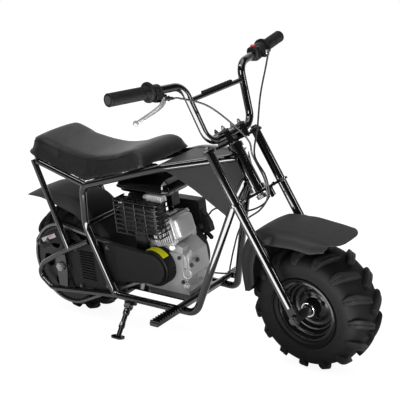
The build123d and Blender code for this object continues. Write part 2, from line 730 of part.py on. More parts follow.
with BuildPart() as stand_bracket:
    with BuildSketch(stand_plane.offset(eye_half + 0.5), stand_plane.offset(-eye_half - 0.5 - cheek)):
        Circle(eye_radius)
        with Locations((-12, 0)):
            Rectangle(22, 20)
    extrude(amount=cheek)
    with BuildSketch(stand_plane.offset(-eye_half - 0.5 - cheek)):
        with Locations((-20, 0)):
            Rectangle(12, 20)
    extrude(amount=2 * (eye_half + 0.5 + cheek))
    with BuildSketch(stand_plane.offset(-eye_half - 5)):
        Circle(pin_radius)
    extrude(amount=2 * eye_half + 12)
    add(block((pivot.X - 22, pivot.Y + 8, pivot.Z + 2), (pivot.X + 22, pivot.Y + 16, pivot.Z + 28)))
    with BuildSketch(stand_plane.offset(-eye_half - 0.2)):
        Circle(eye_radius + 2)
    extrude(amount=2 * eye_half + 0.4, mode=Mode.SUBTRACT)
    with BuildSketch(stand_plane.offset(-eye_half - 0.4)):
        Circle(pin_radius)
    extrude(amount=2 * eye_half + 0.8)
    add(loop_tubes["right"], mode=Mode.SUBTRACT)
keep(stand_bracket, "stand_bracket")

# Fork legs with flattened, drilled ends
leg_start, ear_thickness = 34, 9
with BuildPart() as fork_legs:
    with BuildSketch(Plane.XY.offset(leg_start)):
        with Locations((-leg_y, 0), (leg_y, 0)):
            Circle(leg_dia / 2)
    extrude(amount=leg_top - leg_start)
    for side in (-1, 1):
        with BuildSketch(Plane.YZ.offset(side * leg_y - ear_thickness / 2)):
            with BuildLine():
                Polyline((-15, 0), (-13, leg_start + 12), (13, leg_start + 12), (15, 0))
                ThreePointArc((15, 0), (0, -15), (-15, 0))
            make_face()
            Circle(axle_dia / 2, mode=Mode.SUBTRACT)
        extrude(amount=ear_thickness)
keep(fork_legs, "fork_legs", fork)

# Clamps across the legs with cap nuts above and a rubber buffer below, stem and its nut
with BuildPart() as triple_clamps:
    for height in (lower_clamp - clamp_thickness / 2, leg_top):
        with BuildSketch(Plane.XY.offset(height)):
            Rectangle(2 * leg_y, 30)
            with Locations((-leg_y, 0), (leg_y, 0)):
                Circle(leg_dia / 2 + 6)
            Circle(stem_dia / 2, mode=Mode.SUBTRACT)
        extrude(amount=clamp_thickness)
    with BuildSketch(Plane.XY.offset(leg_top + clamp_thickness)):
        with Locations((-leg_y, 0), (leg_y, 0)):
            RegularPolygon(9, 6)
    extrude(amount=6)
    with BuildSketch(Plane.XY.offset(lower_clamp - clamp_thickness / 2)):
        with Locations((42, 0)):
            Circle(11)
    extrude(amount=-24)
    add(fork_legs.part, mode=Mode.SUBTRACT)
keep(triple_clamps, "triple_clamps", fork)
with BuildPart() as steering_stem:
    with BuildSketch(Plane.XY.offset(lower_clamp - 10)):
        Circle(stem_dia / 2)
    extrude(amount=leg_top + clamp_thickness + 14 - lower_clamp)
    with BuildSketch(Plane.XY.offset(head_high + cup_reach + 0.4)):
        RegularPolygon(16, 6)
    extrude(amount=leg_top - head_high - cup_reach - 0.4)
keep(steering_stem, "steering_stem", fork)

# Handlebar with its crossbar and clamps: centre run, rise and grips
clamp_spacing = 72
bar_centre = Vector(*by_fork(0, -6.2, leg_top + 25))
bar_low = (bar_centre.X, -98, bar_centre.Z)
bar_top = (bar_centre.X - 44, -127, bar_centre.Z + 161)
bar_end = (bar_centre.X - 76, -bar_width / 2, bar_centre.Z + 184)
cross_share = 0.74
half_bar = [bar_end, bar_top, bar_low]
bar_tube = tube(half_bar + list(reversed(other_side(half_bar))), [42, 44, 44, 42], bar_dia)
cross_x, cross_y, cross_z = [low + (top - low) * cross_share for low, top in zip(bar_low, bar_top)]
with BuildPart() as handlebar:
    add(bar_tube)
    add(disc(cross_x, cross_z, cross_y, -cross_y, crossbar_dia / 2))
keep(handlebar, "handlebar")
bar_local = fork_plane.to_local_coords(bar_centre)
clamp_base = leg_top + clamp_thickness
with BuildPart() as bar_clamps:
    with BuildSketch(Plane.XY.offset(clamp_base)):
        with Locations((0, bar_local.Y)):
            with GridLocations(clamp_spacing, 1, 2, 1):
                Rectangle(24, 38)
    extrude(amount=bar_local.Z - clamp_base + bar_dia / 2 + 5)
    add(fork.inverse() * bar_tube, mode=Mode.SUBTRACT)
keep(bar_clamps, "bar_clamps", fork)


def bar_run(side):
    """The end of one grip run, its direction inwards and the forward direction across it."""
    end = Vector(bar_end[0], side * bar_width / 2, bar_end[2])
    along = (Vector(bar_top[0], -side * bar_top[1], bar_top[2]) - end).normalized()
    ahead = along.cross(Vector(0, 0, 1)).normalized() * -side
    return end, along, ahead


def bar_plane(side, inboard):
    """A plane across a grip run, a distance in from its end."""
    end, along, ahead = bar_run(side)
    return Plane(origin=end + along * inboard, x_dir=ahead, z_dir=along)


def by_bar(side, inboard, forward, up):
    """A point measured from a bar end: inwards along the grip, forwards and up."""
    end, along, ahead = bar_run(side)
    return tuple(end + along * inboard + ahead * forward + Vector(0, 0, up))


throttle_length = grip_length - 20
with BuildPart() as grips:
    for side, length in ((-1, grip_length), (1, throttle_length)):
        with BuildSketch(bar_plane(side, 0)):
            Circle(grip_dia / 2)
        extrude(amount=length)
        with BuildSketch(*[bar_plane(side, 14 + 12 * ring) for ring in range(8)]):
            Circle(grip_dia / 2 + 1.2)
        extrude(amount=5)
        with BuildSketch(bar_plane(side, length - 6)):
            Circle(grip_dia / 2 + 11.5)
        extrude(amount=6)
    add(handlebar.part, mode=Mode.SUBTRACT)
keep(grips, "grips")

# Brake lever: ring clamp, perch below it and a curved blade with a ball end
perch = grip_length + 6
lever_route = [by_bar(-1, perch + 30, 6, -20), by_bar(-1, perch + 10, 28, -32), by_bar(-1, perch - 39, 25, -51),
               by_bar(-1, perch - 75, 18, -66)]
with BuildPart() as brake_lever:
    with BuildSketch(bar_plane(-1, perch)):
        Circle(bar_dia / 2 + 6)
    extrude(amount=26)
    with BuildSketch(bar_plane(-1, perch + 2)):
        with Locations((0, 21)):
            Rectangle(36, 22)
    extrude(amount=40)
    add(handlebar.part, mode=Mode.SUBTRACT)
    add(tube(lever_route, [24, 30], 9))
    with Locations(lever_route[-1]):
        Sphere(7)
keep(brake_lever, "brake_lever")
housing = throttle_length + 1
with BuildPart() as throttle_housing:
    with BuildSketch(bar_plane(1, housing)):
        Circle(bar_dia / 2 + 10)
    extrude(amount=28)
    with BuildSketch(bar_plane(1, housing + 32)):
        RectangleRounded(36, 38, 8)
    extrude(amount=26)
    add(handlebar.part, mode=Mode.SUBTRACT)
keep(throttle_housing, "throttle_housing")

# Front axle with spacers and nuts
with BuildPart() as front_axle:
    add(disc(0, 0, -leg_y - 17, leg_y + 17, axle_dia / 2))
    for side in (-1, 1):
        low_y, high_y = sorted((side * (hub_half + 0.6), side * (leg_y - ear_thickness / 2)))
        add(disc(0, 0, low_y, high_y, 13))
        with BuildSketch(Plane.XZ.offset(-side * (leg_y + ear_thickness / 2))):
            RegularPolygon(13, 6)
        extrude(amount=-side * 9)
keep(front_axle, "front_axle", front_hub)

# Cables: upper runs turn with the handlebar; they meet the lower runs in line with the steering axis
cable_dia = 5
meet_up, meet_gap = 406.4, 0.4
brake_meet, throttle_meet = (-4, -41.4), (5, -41.4)
upper_brake = [by_bar(-1, perch + 34.7, 19.5, -21.9), by_bar(-1, perch + 60, 40, -22),
               (front_x - 212, 67 - bar_width / 4, 571), (front_x - 184, -60, 509), (front_x - 166, -16, 449),
               by_fork(*brake_meet, meet_up + 30), by_fork(*brake_meet, meet_up)]
upper_throttle = [by_bar(1, housing + 19.5, 23, 1.4), by_bar(1, housing + 44, 45, 5.7),
                  (front_x - 220, bar_width / 4 - 19, 607), (front_x - 196, 96, 543), (front_x - 174, 40, 471),
                  by_fork(*throttle_meet, meet_up + 30), by_fork(*throttle_meet, meet_up)]
with BuildPart() as control_cables:
    for route in (upper_brake, upper_throttle):
        add(tube(route, [30] * (len(route) - 2), cable_dia))
keep(control_cables, "control_cables")
rail_side = frame_half - 10
lower_brake = [by_fork(*brake_meet, meet_up - meet_gap), by_fork(*brake_meet, meet_up - 30),
               (front_x - 131, -4, 319), (front_x - 132, -4, 285), (front_x - 160, -4, 249),
               (front_x - 208, -3, 215), (front_x - 250, 10, 169), (crank_x + 200, 48, 81),
               (crank_x + 168, 66, 19), (crank_x + 138, rail_side - 8, -16), (crank_x + 72, rail_side, -30),
               (crank_x - 8, rail_side, -38), (crank_x - 108, rail_side - 4, -36),
               (rear_x + 174, brake_y + 8, -2),
               (caliper_x + 51, brake_y + 7, caliper_z), (caliper_x + 21, brake_y + 7, caliper_z)]
lower_throttle = [by_fork(*throttle_meet, meet_up - meet_gap), by_fork(*throttle_meet, meet_up - 30),
                  (front_x - 131, 5, 319), (front_x - 133, 5, 287), (front_x - 160, 7, 259),
                  (front_x - 206, 8, 237), (crank_x + 242, 14, 223), (crank_x + 172, 40, 215), (crank_x + 120, 72, 190),
                  (crank_x + 95.2, 83, crank_z + 122.4), (crank_x + 74.1, 83, crank_z + 109.1)]
with BuildPart() as frame_cables:
    for route in (lower_brake, lower_throttle):
        add(tube(route, [16] * (len(route) - 2), cable_dia))
keep(frame_cables, "frame_cables")

# The whole bike leans on its stand, centred over the origin with its lowest point at zero
leaned = [lean_turn * place * piece for piece, place in pieces]
box = Compound(children=leaned).bounding_box()
parked = Location((-box.center().X, -box.center().Y, -ground_z)) * lean_turn
for piece, place in pieces:
    settled = parked * place * piece
    settled.label = piece.label
    export_step(settled, f"parts/{piece.label}.step")
print("box", box.min, box.max, "ground", ground_z)
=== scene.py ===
# Looks for the mini dirt bike, built in millimetres in the upright bike and then parked on its stand.
import bmesh
import bpy
import json
import numpy as np
from math import acos, cos, pi, radians, sin, sqrt, tau
from mathutils import Matrix, Vector


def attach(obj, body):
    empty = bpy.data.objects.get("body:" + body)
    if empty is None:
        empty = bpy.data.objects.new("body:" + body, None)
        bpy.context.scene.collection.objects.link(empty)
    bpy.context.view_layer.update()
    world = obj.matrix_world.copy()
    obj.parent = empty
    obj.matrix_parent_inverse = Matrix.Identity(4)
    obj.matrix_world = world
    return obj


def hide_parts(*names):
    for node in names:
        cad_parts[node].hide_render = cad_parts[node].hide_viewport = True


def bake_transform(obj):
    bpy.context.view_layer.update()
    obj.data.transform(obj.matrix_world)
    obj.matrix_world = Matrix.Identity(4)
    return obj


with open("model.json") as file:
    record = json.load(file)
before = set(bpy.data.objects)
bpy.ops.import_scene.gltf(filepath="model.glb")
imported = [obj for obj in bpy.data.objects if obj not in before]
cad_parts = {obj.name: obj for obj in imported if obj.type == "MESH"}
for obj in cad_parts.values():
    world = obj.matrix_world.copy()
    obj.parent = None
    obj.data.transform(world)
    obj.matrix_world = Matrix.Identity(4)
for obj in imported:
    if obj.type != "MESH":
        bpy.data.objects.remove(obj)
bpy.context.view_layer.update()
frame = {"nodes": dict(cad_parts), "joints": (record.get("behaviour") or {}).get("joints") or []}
joints = {joint["name"]: joint for joint in frame["joints"]}
rearHub = np.array(joints["rear_spin"]["pos_m"])
frontHub = np.array(joints["front_spin"]["pos_m"])
across = np.array(joints["rear_spin"]["axis"])  # the bike's +Y once it leans on its stand
middle = (rearHub + frontHub) / 2
leanTurn = np.array([[1, 0, 0], [0, across[1], -across[2]], [0, across[2], across[1]]])
bikeSizes = {"wheelbase": 872, "tyreRadius": 181, "frameHalf": 110, "rake": 27.8,
             "crankReach": 364, "crankHeight": 47}
frontX = bikeSizes["wheelbase"] / 2
rearX = -frontX
crankX = rearX + bikeSizes["crankReach"]
crankZ = bikeSizes["crankHeight"]
frameHalf = bikeSizes["frameHalf"]
rake = radians(bikeSizes["rake"])
xWay, yWay, zWay = np.eye(3)  # ahead, to the far side, up


def parked(points):
    # world metres = middle of the axles + lean turn times the upright bike's millimetres
    return middle + np.asarray(points, float) @ leanTurn.T / 1000


def unparked(places):
    # the way back: world metres from the middle of the axles, the lean undone, in millimetres
    return (places - middle) @ leanTurn * 1000


def byFork(points):
    # fork-local (across, behind, up) to the upright bike: the front hub plus each along its own direction
    p = np.asarray(points, float)
    x = frontX - p[..., 1] * cos(rake) - p[..., 2] * sin(rake)
    z = -p[..., 1] * sin(rake) + p[..., 2] * cos(rake)
    return np.stack([x, p[..., 0], z], -1)


# the photograph's camera, placed from the middle of the axles
cameraSet = {"from": (1.84089, -2.29025, 0.83096), "tilt": 78.4448, "turn": 38.3074, "lens": 92.2986}
cameraData = bpy.data.cameras.new("photoCamera")
cameraData.lens = cameraSet["lens"]
cameraData.sensor_width = 36
cameraData.sensor_fit = "HORIZONTAL"
cameraData.clip_end = 50
camera = bpy.data.objects.new("photoCamera", cameraData)
camera.location = middle + np.array(cameraSet["from"])
camera.rotation_euler = (radians(cameraSet["tilt"]), 0, radians(cameraSet["turn"]))
bpy.context.scene.collection.objects.link(camera)
bpy.context.scene.camera = camera
print("stage: camera")


class Wire:
    # one output socket, with the operators that its material's maths uses
    def __init__(self, paint, socket):
        self.paint = paint
        self.socket = socket

    def maths(self, operation, *values):
        # a Math node on sockets and numbers
        return self.paint.node("Math", {"operation": operation}, dict(enumerate(values)))

    def __add__(self, other):
        return self.maths("ADD", self, other)

    def __sub__(self, other):
        return self.maths("SUBTRACT", self, other)

    def __rsub__(self, other):
        return self.maths("SUBTRACT", other, self)

    def __mul__(self, other):
        return self.maths("MULTIPLY", self, other)

    def __truediv__(self, other):
        return self.maths("DIVIDE", self, other)

    __radd__ = __add__
    __rmul__ = __mul__

    def held(self):
        # kept between 0 and 1
        return self.maths("MINIMUM", self.maths("MAXIMUM", self, 0), 1)


class Board:
    # a node tree that takes any node by its type, settings and sockets
    def __init__(self, tree):
        self.tree = tree

    def node(self, kind, settings, sockets, output=0):
        # settings first, then each socket's value or link
        made = self.tree.nodes.new("ShaderNode" + kind)
        for key, value in settings.items():
            setattr(made, key, value)
        for key, value in sockets.items():
            if isinstance(value, Wire):
                self.tree.links.new(value.socket, made.inputs[key])
            else:
                made.inputs[key].default_value = value
        return Wire(self, made.outputs[output])


class Paint(Board):
    # one material: a principled shader and the patterns that feed it
    def __init__(self, name, colour, roughness, metallic=0, coat=0, coatRoughness=0.05, specular=0.5):
        self.material = bpy.data.materials.new(name)
        self.material.use_nodes = True
        super().__init__(self.material.node_tree)
        self.shader = self.tree.nodes["Principled BSDF"]
        self.colour = colour
        self.bumps = None
        own = {"Metallic": metallic, "Coat Weight": coat, "Coat Roughness": coatRoughness,
               "Specular IOR Level": specular, "Roughness": roughness, "Base Color": (*colour, 1)}
        for socket, value in own.items():
            self.shader.inputs[socket].default_value = value
        self.material.diffuse_color = (*colour, 1)

    def spot(self, stretch=None):
        # Object coordinates, stretched along an axis where a grain is drawn
        place = self.node("TexCoord", {}, {}, 3)
        return self.node("Mapping", {}, {"Vector": place, "Scale": stretch}) if stretch else place

    def ahead(self):
        # how far forward each point is, in metres
        return self.node("SeparateXYZ", {}, {0: self.spot()}, 0)

    def noise(self, scale, detail=3, rough=0.55, stretch=None):
        # soft noise by its scale in cells a metre
        sockets = {"Vector": self.spot(stretch), "Scale": scale, "Detail": detail, "Roughness": rough}
        return self.node("TexNoise", {}, sockets)

    def cells(self, scale, feature="F1"):
        # round cells, or the distance to their edges
        return self.node("TexVoronoi", {"feature": feature}, {"Vector": self.spot(), "Scale": scale})

    def blend(self, factor, first, second):
        # a mix of two colours
        sockets = {0: factor}
        for key, value in ((6, first), (7, second)):
            sockets[key] = value if isinstance(value, Wire) else (*value, 1)
        return self.node("Mix", {"data_type": "RGBA"}, sockets, 2)

    def shade(self, factor, low, high):
        # a colour that runs between two shares of the base colour
        return self.blend(factor, [c * low for c in self.colour], [c * high for c in self.colour])

    def give(self, socket, wire):
        # feeds one socket of the shader
        self.tree.links.new(wire.socket, self.shader.inputs[socket])
        return self

    def raised(self, height, distance, strength=1.0):
        # a bump in metres, laid on the ones before it
        sockets = {"Height": height, "Distance": distance, "Strength": strength}
        if self.bumps:
            sockets["Normal"] = self.bumps
        self.bumps = self.node("Bump", {}, sockets)
        return self.give("Normal", self.bumps)


paints = {}


def paint(name, *values, **extra):
    # a material kept under its name
    paints[name] = Paint(name, *values, **extra)
    return paints[name]


def blackPaint(name, level, roughness, coat, specular):
    # sprayed gloss black: a faint orange peel, dust in the roughness
    p = paint(name, (level,) * 3, roughness, coat=coat, specular=specular)
    p.raised(p.noise(260, 2), 0.00035, 0.03)
    p.give("Roughness", p.noise(18, 5) * 0.08 + (roughness - 0.03))
    p.give("Base Color", p.shade(p.noise(9, 4), 0.7, 1.3))
    return p


blackPaint("tubePaint", 0.003, 0.09, 1.0, 0.5)
blackPaint("tankPaint", 0.004, 0.09, 0.6, 0.5)
blackPaint("rimPaint", 0.008, 0.26, 0.0, 0.35)
blackPaint("engineBlack", 0.010, 0.36, 0.0, 0.4)
blackPaint("cagePaint", 0.006, 0.26, 0.1, 0.3)


def mouldedPanel(name, level, roughness, grain):
    # satin panel: fine moulded grain, slow colour drift
    p = paint(name, (level,) * 3, roughness, specular=0.12)
    p.raised(p.cells(grain), 0.00012, 0.35)
    p.give("Base Color", p.shade(p.noise(6, 4), 0.86, 1.12))
    p.give("Roughness", p.noise(40, 4) * 0.14 + (roughness - 0.07))
    return p


mouldedPanel("panelGrey", 0.017, 0.58, 1500)
mouldedPanel("guardGrey", 0.028, 0.55, 1300)
mouldedPanel("frontGuard", 0.030, 0.62, 1300)
# rear guard: its grey, lighter than the front guard's, is painted sheen; under the seat it fades to near
# black, painted shade where the seat's shade falls
fading = mouldedPanel("rearGuard", 0.062, 0.60, 1300)
fadeSet = {"start": -0.395, "perMetre": 12, "dark": 0.010}  # grey behind the seat stays, near black under it
paintedSeatShade = ((fading.ahead() - fadeSet["start"]) * fadeSet["perMetre"]).held()
paintedSheenGrey = fading.shade(fading.noise(6, 4), 0.86, 1.12)
fading.give("Base Color", fading.blend(paintedSeatShade, paintedSheenGrey, [fadeSet["dark"]] * 3))
mouldedPanel("plasticBlack", 0.012, 0.38, 1500)
mouldedPanel("shroudGrey", 0.030, 0.42, 1300)


def rubber(name, level, roughness, specular):
    # moulded rubber: matte bloom in patches and a very fine grain
    p = paint(name, (level,) * 3, roughness, specular=specular)
    bloom = p.noise(14, 6, 0.6)
    p.give("Base Color", p.shade(bloom, 0.6, 1.5))
    p.give("Roughness", bloom * 0.22 + (roughness - 0.1))
    p.raised(p.noise(900, 2), 0.00015, 0.5)
    return p


def tyreRubber():
    # the mesh's crown value runs from the grooves to the lug tops: painted shade makes the grooves near
    # black, painted light makes the lug tops lighter, and the tops are also shinier
    p = rubber("tyreRubber", 0.010, 0.60, 0.11)
    crown = p.node("Attribute", {"attribute_name": "crown"}, {}, 2)
    bloom = p.noise(14, 6, 0.6)
    p.give("Base Color", p.blend(crown, [0.0060] * 3, [0.021] * 3))
    p.give("Roughness", bloom * 0.2 + 0.52 - crown * 0.14)


tyreRubber()
rubber("gripRubber", 0.006, 0.52, 0.16)
rubber("cableSheath", 0.008, 0.34, 0.45)


def metal(name, level, roughness, drift, grain, scale, stretch=None, metallic=1.0):
    # cast or drawn metal: grain in roughness and bump, slow drift in the colour
    p = paint(name, (level,) * 3, roughness, metallic=metallic)
    p.give("Base Color", p.shade(p.noise(11, 5), 1 - drift, 1 + drift))
    p.give("Roughness", p.noise(scale / 6, 4, stretch=stretch) * 0.24 + (roughness - 0.12))
    p.raised(p.noise(scale, 3, stretch=stretch), grain, 0.5)
    return p


metal("castAlloy", 0.56, 0.46, 0.26, 0.00040, 900, metallic=0.40)
metal("coverAlloy", 0.56, 0.44, 0.08, 0.00012, 1400, metallic=0.35)
metal("discSteel", 0.060, 0.42, 0.3, 0.00012, 700)
metal("zincSteel", 0.40, 0.36, 0.14, 0.00010, 700, metallic=0.6)
metal("darkSteel", 0.13, 0.36, 0.2, 0.00012, 700)
metal("brightAlloy", 0.36, 0.36, 0.10, 0.00006, 500, stretch=(1, 0.08, 1), metallic=0.4)
metal("chrome", 0.75, 0.09, 0.04, 0.00002, 300)
metal("chainSteel", 0.20, 0.40, 0.2, 0.00015, 800)


def vinyl():
    # seat cover: irregular leather-like cells with finer wrinkles, glossier on the high grain
    p = paint("seatVinyl", (0.0075,) * 3, 0.42, specular=0.30)
    cells = p.cells(420, "DISTANCE_TO_EDGE")
    p.raised((cells * 6).held(), 0.00035, 0.55)
    p.raised(p.noise(150, 5, 0.6), 0.0006, 0.35)
    p.give("Roughness", p.noise(25, 5) * 0.16 + 0.30)
    p.give("Base Color", p.shade(p.noise(12, 5), 0.7, 1.35))


vinyl()


def flatPrint(name, colour, ink):
    # a printed film label: plain colour, faint ink mottling
    p = paint(name, colour, 0.35, specular=0.4)
    p.give("Base Color", p.blend(p.noise(500, 3) * ink, colour, [c * 0.35 for c in colour]))
    p.raised(p.noise(120, 2), 0.00005, 0.3)


flatPrint("yellowLabel", (1.0, 0.97, 0.0), 0.35)
flatPrint("whiteLabel", (0.62, 0.60, 0.60), 0.35)
flatPrint("pinkLabel", (0.60, 0.22, 0.22), 0.2)
flatPrint("redPlastic", (0.55, 0.02, 0.02), 0.1)
print("stage: materials")


class Heap:
    # closed shells gathered into one mesh
    def __init__(self):
        self.points = []
        self.faces = []
        self.count = 0

    def add(self, shell):
        # its faces are numbered on from the points before it
        points, faces = shell
        points = np.asarray(points, float).reshape(-1, 3)
        self.points.append(points)
        self.faces += [[int(i) + self.count for i in face] for face in faces]
        self.count += len(points)
        return self

    def shell(self):
        # all points as one array, with all faces
        return np.concatenate(self.points), self.faces


def gridFaces(rows, cols, wrapRows=False, wrapCols=False):
    # four corners of every cell of a grid of points, joined round where it wraps
    r = np.arange(rows if wrapRows else rows - 1)
    c = np.arange(cols if wrapCols else cols - 1)
    a, b = np.meshgrid(r, c, indexing="ij")
    nextA = (a + 1) % rows
    nextB = (b + 1) % cols
    corners = [a * cols + b, a * cols + nextB, nextA * cols + nextB, nextA * cols + b]
    return np.stack(corners, -1).reshape(-1, 4).tolist()


def loft(rings):
    # rings of points joined side by side, with both ends closed
    rings = np.asarray(rings, float)
    rows, cols = rings.shape[:2]
    faces = gridFaces(rows, cols, wrapCols=True)
    faces += [list(range(cols))[::-1], [(rows - 1) * cols + i for i in range(cols)]]
    return rings.reshape(-1, 3), faces


def unit(v):
    # each vector divided by its length
    v = np.asarray(v, float)
    return v / np.linalg.norm(v, axis=-1, keepdims=True)


def pathFrames(path, up):
    # tangent, side and up of each point of a path, from one fixed up direction
    path = np.asarray(path, float)
    tangent = unit(np.gradient(path, axis=0))
    side = unit(np.cross(tangent, np.asarray(up, float)))
    return tangent, side, np.cross(side, tangent)


def sweep(path, section, up=(0, 0, 1), scale=None):
    # each section point times the path's side and up, added to the path's point
    path = np.asarray(path, float)
    section = np.asarray(section, float)
    _, side, rise = pathFrames(path, up)
    grow = np.ones(len(path)) if scale is None else np.asarray(scale, float)
    spread = section[None, :, :1] * side[:, None] + section[None, :, 1:] * rise[:, None]
    return loft(path[:, None] + grow[:, None, None] * spread)


def ringOf(radius, count, wide=1.0):
    # a circle or ellipse of points
    turn = np.arange(count) * tau / count
    return np.stack([np.cos(turn) * radius * wide, np.sin(turn) * radius], -1)


def smoothLine(points, perRun=12):
    # Catmull-Rom line through the points: cubic blends of each four neighbours
    p = np.asarray(points, float)
    p = np.vstack([2 * p[0] - p[1], p, 2 * p[-1] - p[-2]])
    t = np.linspace(0, 1, perRun, endpoint=False)[:, None]
    runs = []
    for a, b, c, d in zip(p[:-3], p[1:-2], p[2:-1], p[3:]):
        square = (2 * a - 5 * b + 4 * c - d) * t**2
        cube = (3 * b - a - 3 * c + d) * t**3
        runs.append(0.5 * (2 * b + (c - a) * t + square + cube))
    return np.vstack(runs + [p[-2:-1]])


def softCorners(points, radii, perBend=7):
    # straight runs joined by arcs: each corner swapped for a quadratic blend between its two tangent points
    p = [np.asarray(v, float) for v in points]
    line = [p[0]]
    for before, here, after, radius in zip(p[:-2], p[1:-1], p[2:], radii):
        a = unit(before - here)
        b = unit(after - here)
        half = acos(np.clip(np.dot(a, b), -1, 1)) / 2
        nearest = min(np.linalg.norm(before - here), np.linalg.norm(after - here))
        reach = min(radius / max(np.tan(half), 1e-3), 0.48 * nearest)
        t = np.linspace(0, 1, perBend)[:, None]
        line += list((1 - t) ** 2 * (here + a * reach) + 2 * t * (1 - t) * here + t**2 * (here + b * reach))
    return np.array(line + [p[-1]])


def axes(direction):
    # two directions square to a third
    d = unit(direction)
    side = unit(np.cross(d, (0, 0, 1) if abs(d[2]) < 0.9 else (1, 0, 0)))
    return side, np.cross(d, side), d


def lathe(profile, centre, direction, steps=48, closed=False):
    # (distance along, radius) pairs turned round an axis; a closed profile makes a ring
    side, rise, along = axes(direction)
    profile = np.asarray(profile, float)
    turn = np.arange(steps) * tau / steps
    radial = np.cos(turn)[:, None] * side + np.sin(turn)[:, None] * rise
    rings = np.asarray(centre, float) + profile[:, None, :1] * along + profile[:, None, 1:] * radial[None]
    if closed:
        return rings.reshape(-1, 3), gridFaces(len(profile), steps, True, True)
    return loft(rings)


def post(centre, direction, radius, length, chamfer=0, steps=24, start=0):
    # a round post from start to length along its axis, its far edge cut by the chamfer
    end = [(length - chamfer, radius), (length, radius - chamfer)] if chamfer else [(length, radius)]
    return lathe([(start, .01), (start, radius), *end, (length, .01)], centre, direction, steps)


def prism(outline, low, high, origin=(0, 0, 0), right=(1, 0, 0), upward=(0, 0, 1)):
    # a flat outline in two directions, carried between two distances along their cross product
    o, r, u = (np.asarray(v, float) for v in (origin, right, upward))
    out = np.cross(u, r)
    flat = np.asarray(outline, float)
    ring = o + flat[:, :1] * r + flat[:, 1:] * u
    return loft([ring + low * out, ring + high * out])


def slab(centre, size, right=(1, 0, 0), upward=(0, 0, 1)):
    # a block by its centre and its size along right, depth and up
    w, d, h = (s / 2 for s in size)
    return prism([(-w, -h), (w, -h), (w, h), (-w, h)], -d, d, centre, right, upward)


def roundRect(width, height, radius, count=6, centre=(0, 0)):
    # rectangle outline with quarter-circle corners
    turn = np.linspace(0, pi / 2, count)
    corners = []
    for quarter, (sx, sy) in enumerate(((1, 1), (-1, 1), (-1, -1), (1, -1))):
        mid = np.array([sx * (width / 2 - radius), sy * (height / 2 - radius)])
        angle = turn + quarter * pi / 2
        corners.append(mid + radius * np.stack([np.cos(angle), np.sin(angle)], -1))
    return np.vstack(corners) + np.asarray(centre, float)


def stacked(stages, origin, along, right, upward, count):
    # rounded rectangles (distance, width, height, corner) set along a direction and joined side by side
    rings = []
    for at, width, height, corner in stages:
        flat = roundRect(width, height, corner, count)
        rings.append(origin + at * np.asarray(along) + flat[:, :1] * right + flat[:, 1:] * upward)
    return loft(rings)


def hexBolt(centre, direction, flats=10, height=6, washer=0, stub=0):
    # six-sided head with a turned chamfer, on a washer, with the thread's end beyond it
    heap = Heap()
    sheet = 1.6 if washer else 0
    if washer:
        heap.add(post(centre, direction, washer, sheet, start=-1))
    r = flats / sqrt(3)
    top = sheet + height
    head = [(-1, .01), (-1, r), (sheet + height * 0.8, r), (top, r * 0.84), (top, .01)]
    heap.add(lathe(head, centre, direction, 6))
    if stub:
        thread = [(0, .01), (0, stub), (top + 3, stub), (top + 4, stub * 0.8), (top + 4, .01)]
        heap.add(lathe(thread, centre, direction, 16))
    return heap.shell()


def together(shells):
    # shells as one
    heap = Heap()
    for shell in shells:
        heap.add(shell)
    return heap.shell()


meshSet = {"merge": 0.004, "sliver": 1e-6}  # doubles in millimetres, slivers in metres


def vertexPlaces(mesh):
    # every vertex as one row of an array
    places = np.empty(len(mesh.vertices) * 3)
    mesh.vertices.foreach_get("co", places)
    return places.reshape(-1, 3)


def addBevel(piece, width, angle=30):
    # two-step bevel, in millimetres, of the edges that turn by more than the angle
    edge = piece.modifiers.new("edge", "BEVEL")
    edge.width = width / 1000
    edge.segments = 2
    edge.limit_method = "ANGLE"
    edge.angle_limit = radians(angle)
    edge.use_clamp_overlap = True


def makePiece(name, shell, body, finish, bevel=0.0, crease=35, wall=0.0):
    # a mesh parked in the world frame, its doubles merged and its faces turned outwards
    points, faces = shell
    mesh = bpy.data.meshes.new(name)
    mesh.from_pydata(parked(points).tolist(), [], faces)
    work = bmesh.new()
    work.from_mesh(mesh)
    bmesh.ops.remove_doubles(work, verts=work.verts, dist=meshSet["merge"] / 1000)
    bmesh.ops.dissolve_degenerate(work, edges=work.edges, dist=meshSet["sliver"])
    bmesh.ops.recalc_face_normals(work, faces=work.faces)
    work.to_mesh(mesh)
    work.free()
    mesh.validate()
    piece = bpy.data.objects.new(name, mesh)
    bpy.context.scene.collection.objects.link(piece)
    mesh.materials.append(paints[finish].material)
    mesh.shade_smooth()
    mesh.set_sharp_from_angle(angle=radians(crease))
    if wall:
        solid = piece.modifiers.new("wall", "SOLIDIFY")
        solid.thickness = wall / 1000
        solid.offset = -1
    if bevel:
        addBevel(piece, bevel)
    if body:
        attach(piece, body)
    return piece


# finishes of the nodes that are carried over; the others are painted tube
nodeFinish = {
    "panelGrey": ["neck_panels"],
    "guardGrey": ["chain_guard"],
    "plasticBlack": ["neck_cover", "seat_pan", "air_filter"],
    "engineBlack": ["cylinder", "muffler", "muffler_guard", "brake_caliper"],
    "shroudGrey": ["recoil_starter"],
    "tankPaint": ["engine_tank"],
    "zincSteel": ["rear_axle"],
    "discSteel": ["sprocket", "brake_disc", "front_axle"],
    "darkSteel": ["steering_stem", "stand_bracket"],
    "chainSteel": ["drive_chain"],
    "castAlloy": ["crankcase"],
    "coverAlloy": ["valve_cover"],
}
finishOf = {node: finish for finish, nodes in nodeFinish.items() for node in nodes}
for node, thing in frame["nodes"].items():
    thing.data.materials.clear()
    thing.data.materials.append(paints[finishOf.get(node, "tubePaint")].material)
print("stage: carried-over nodes")


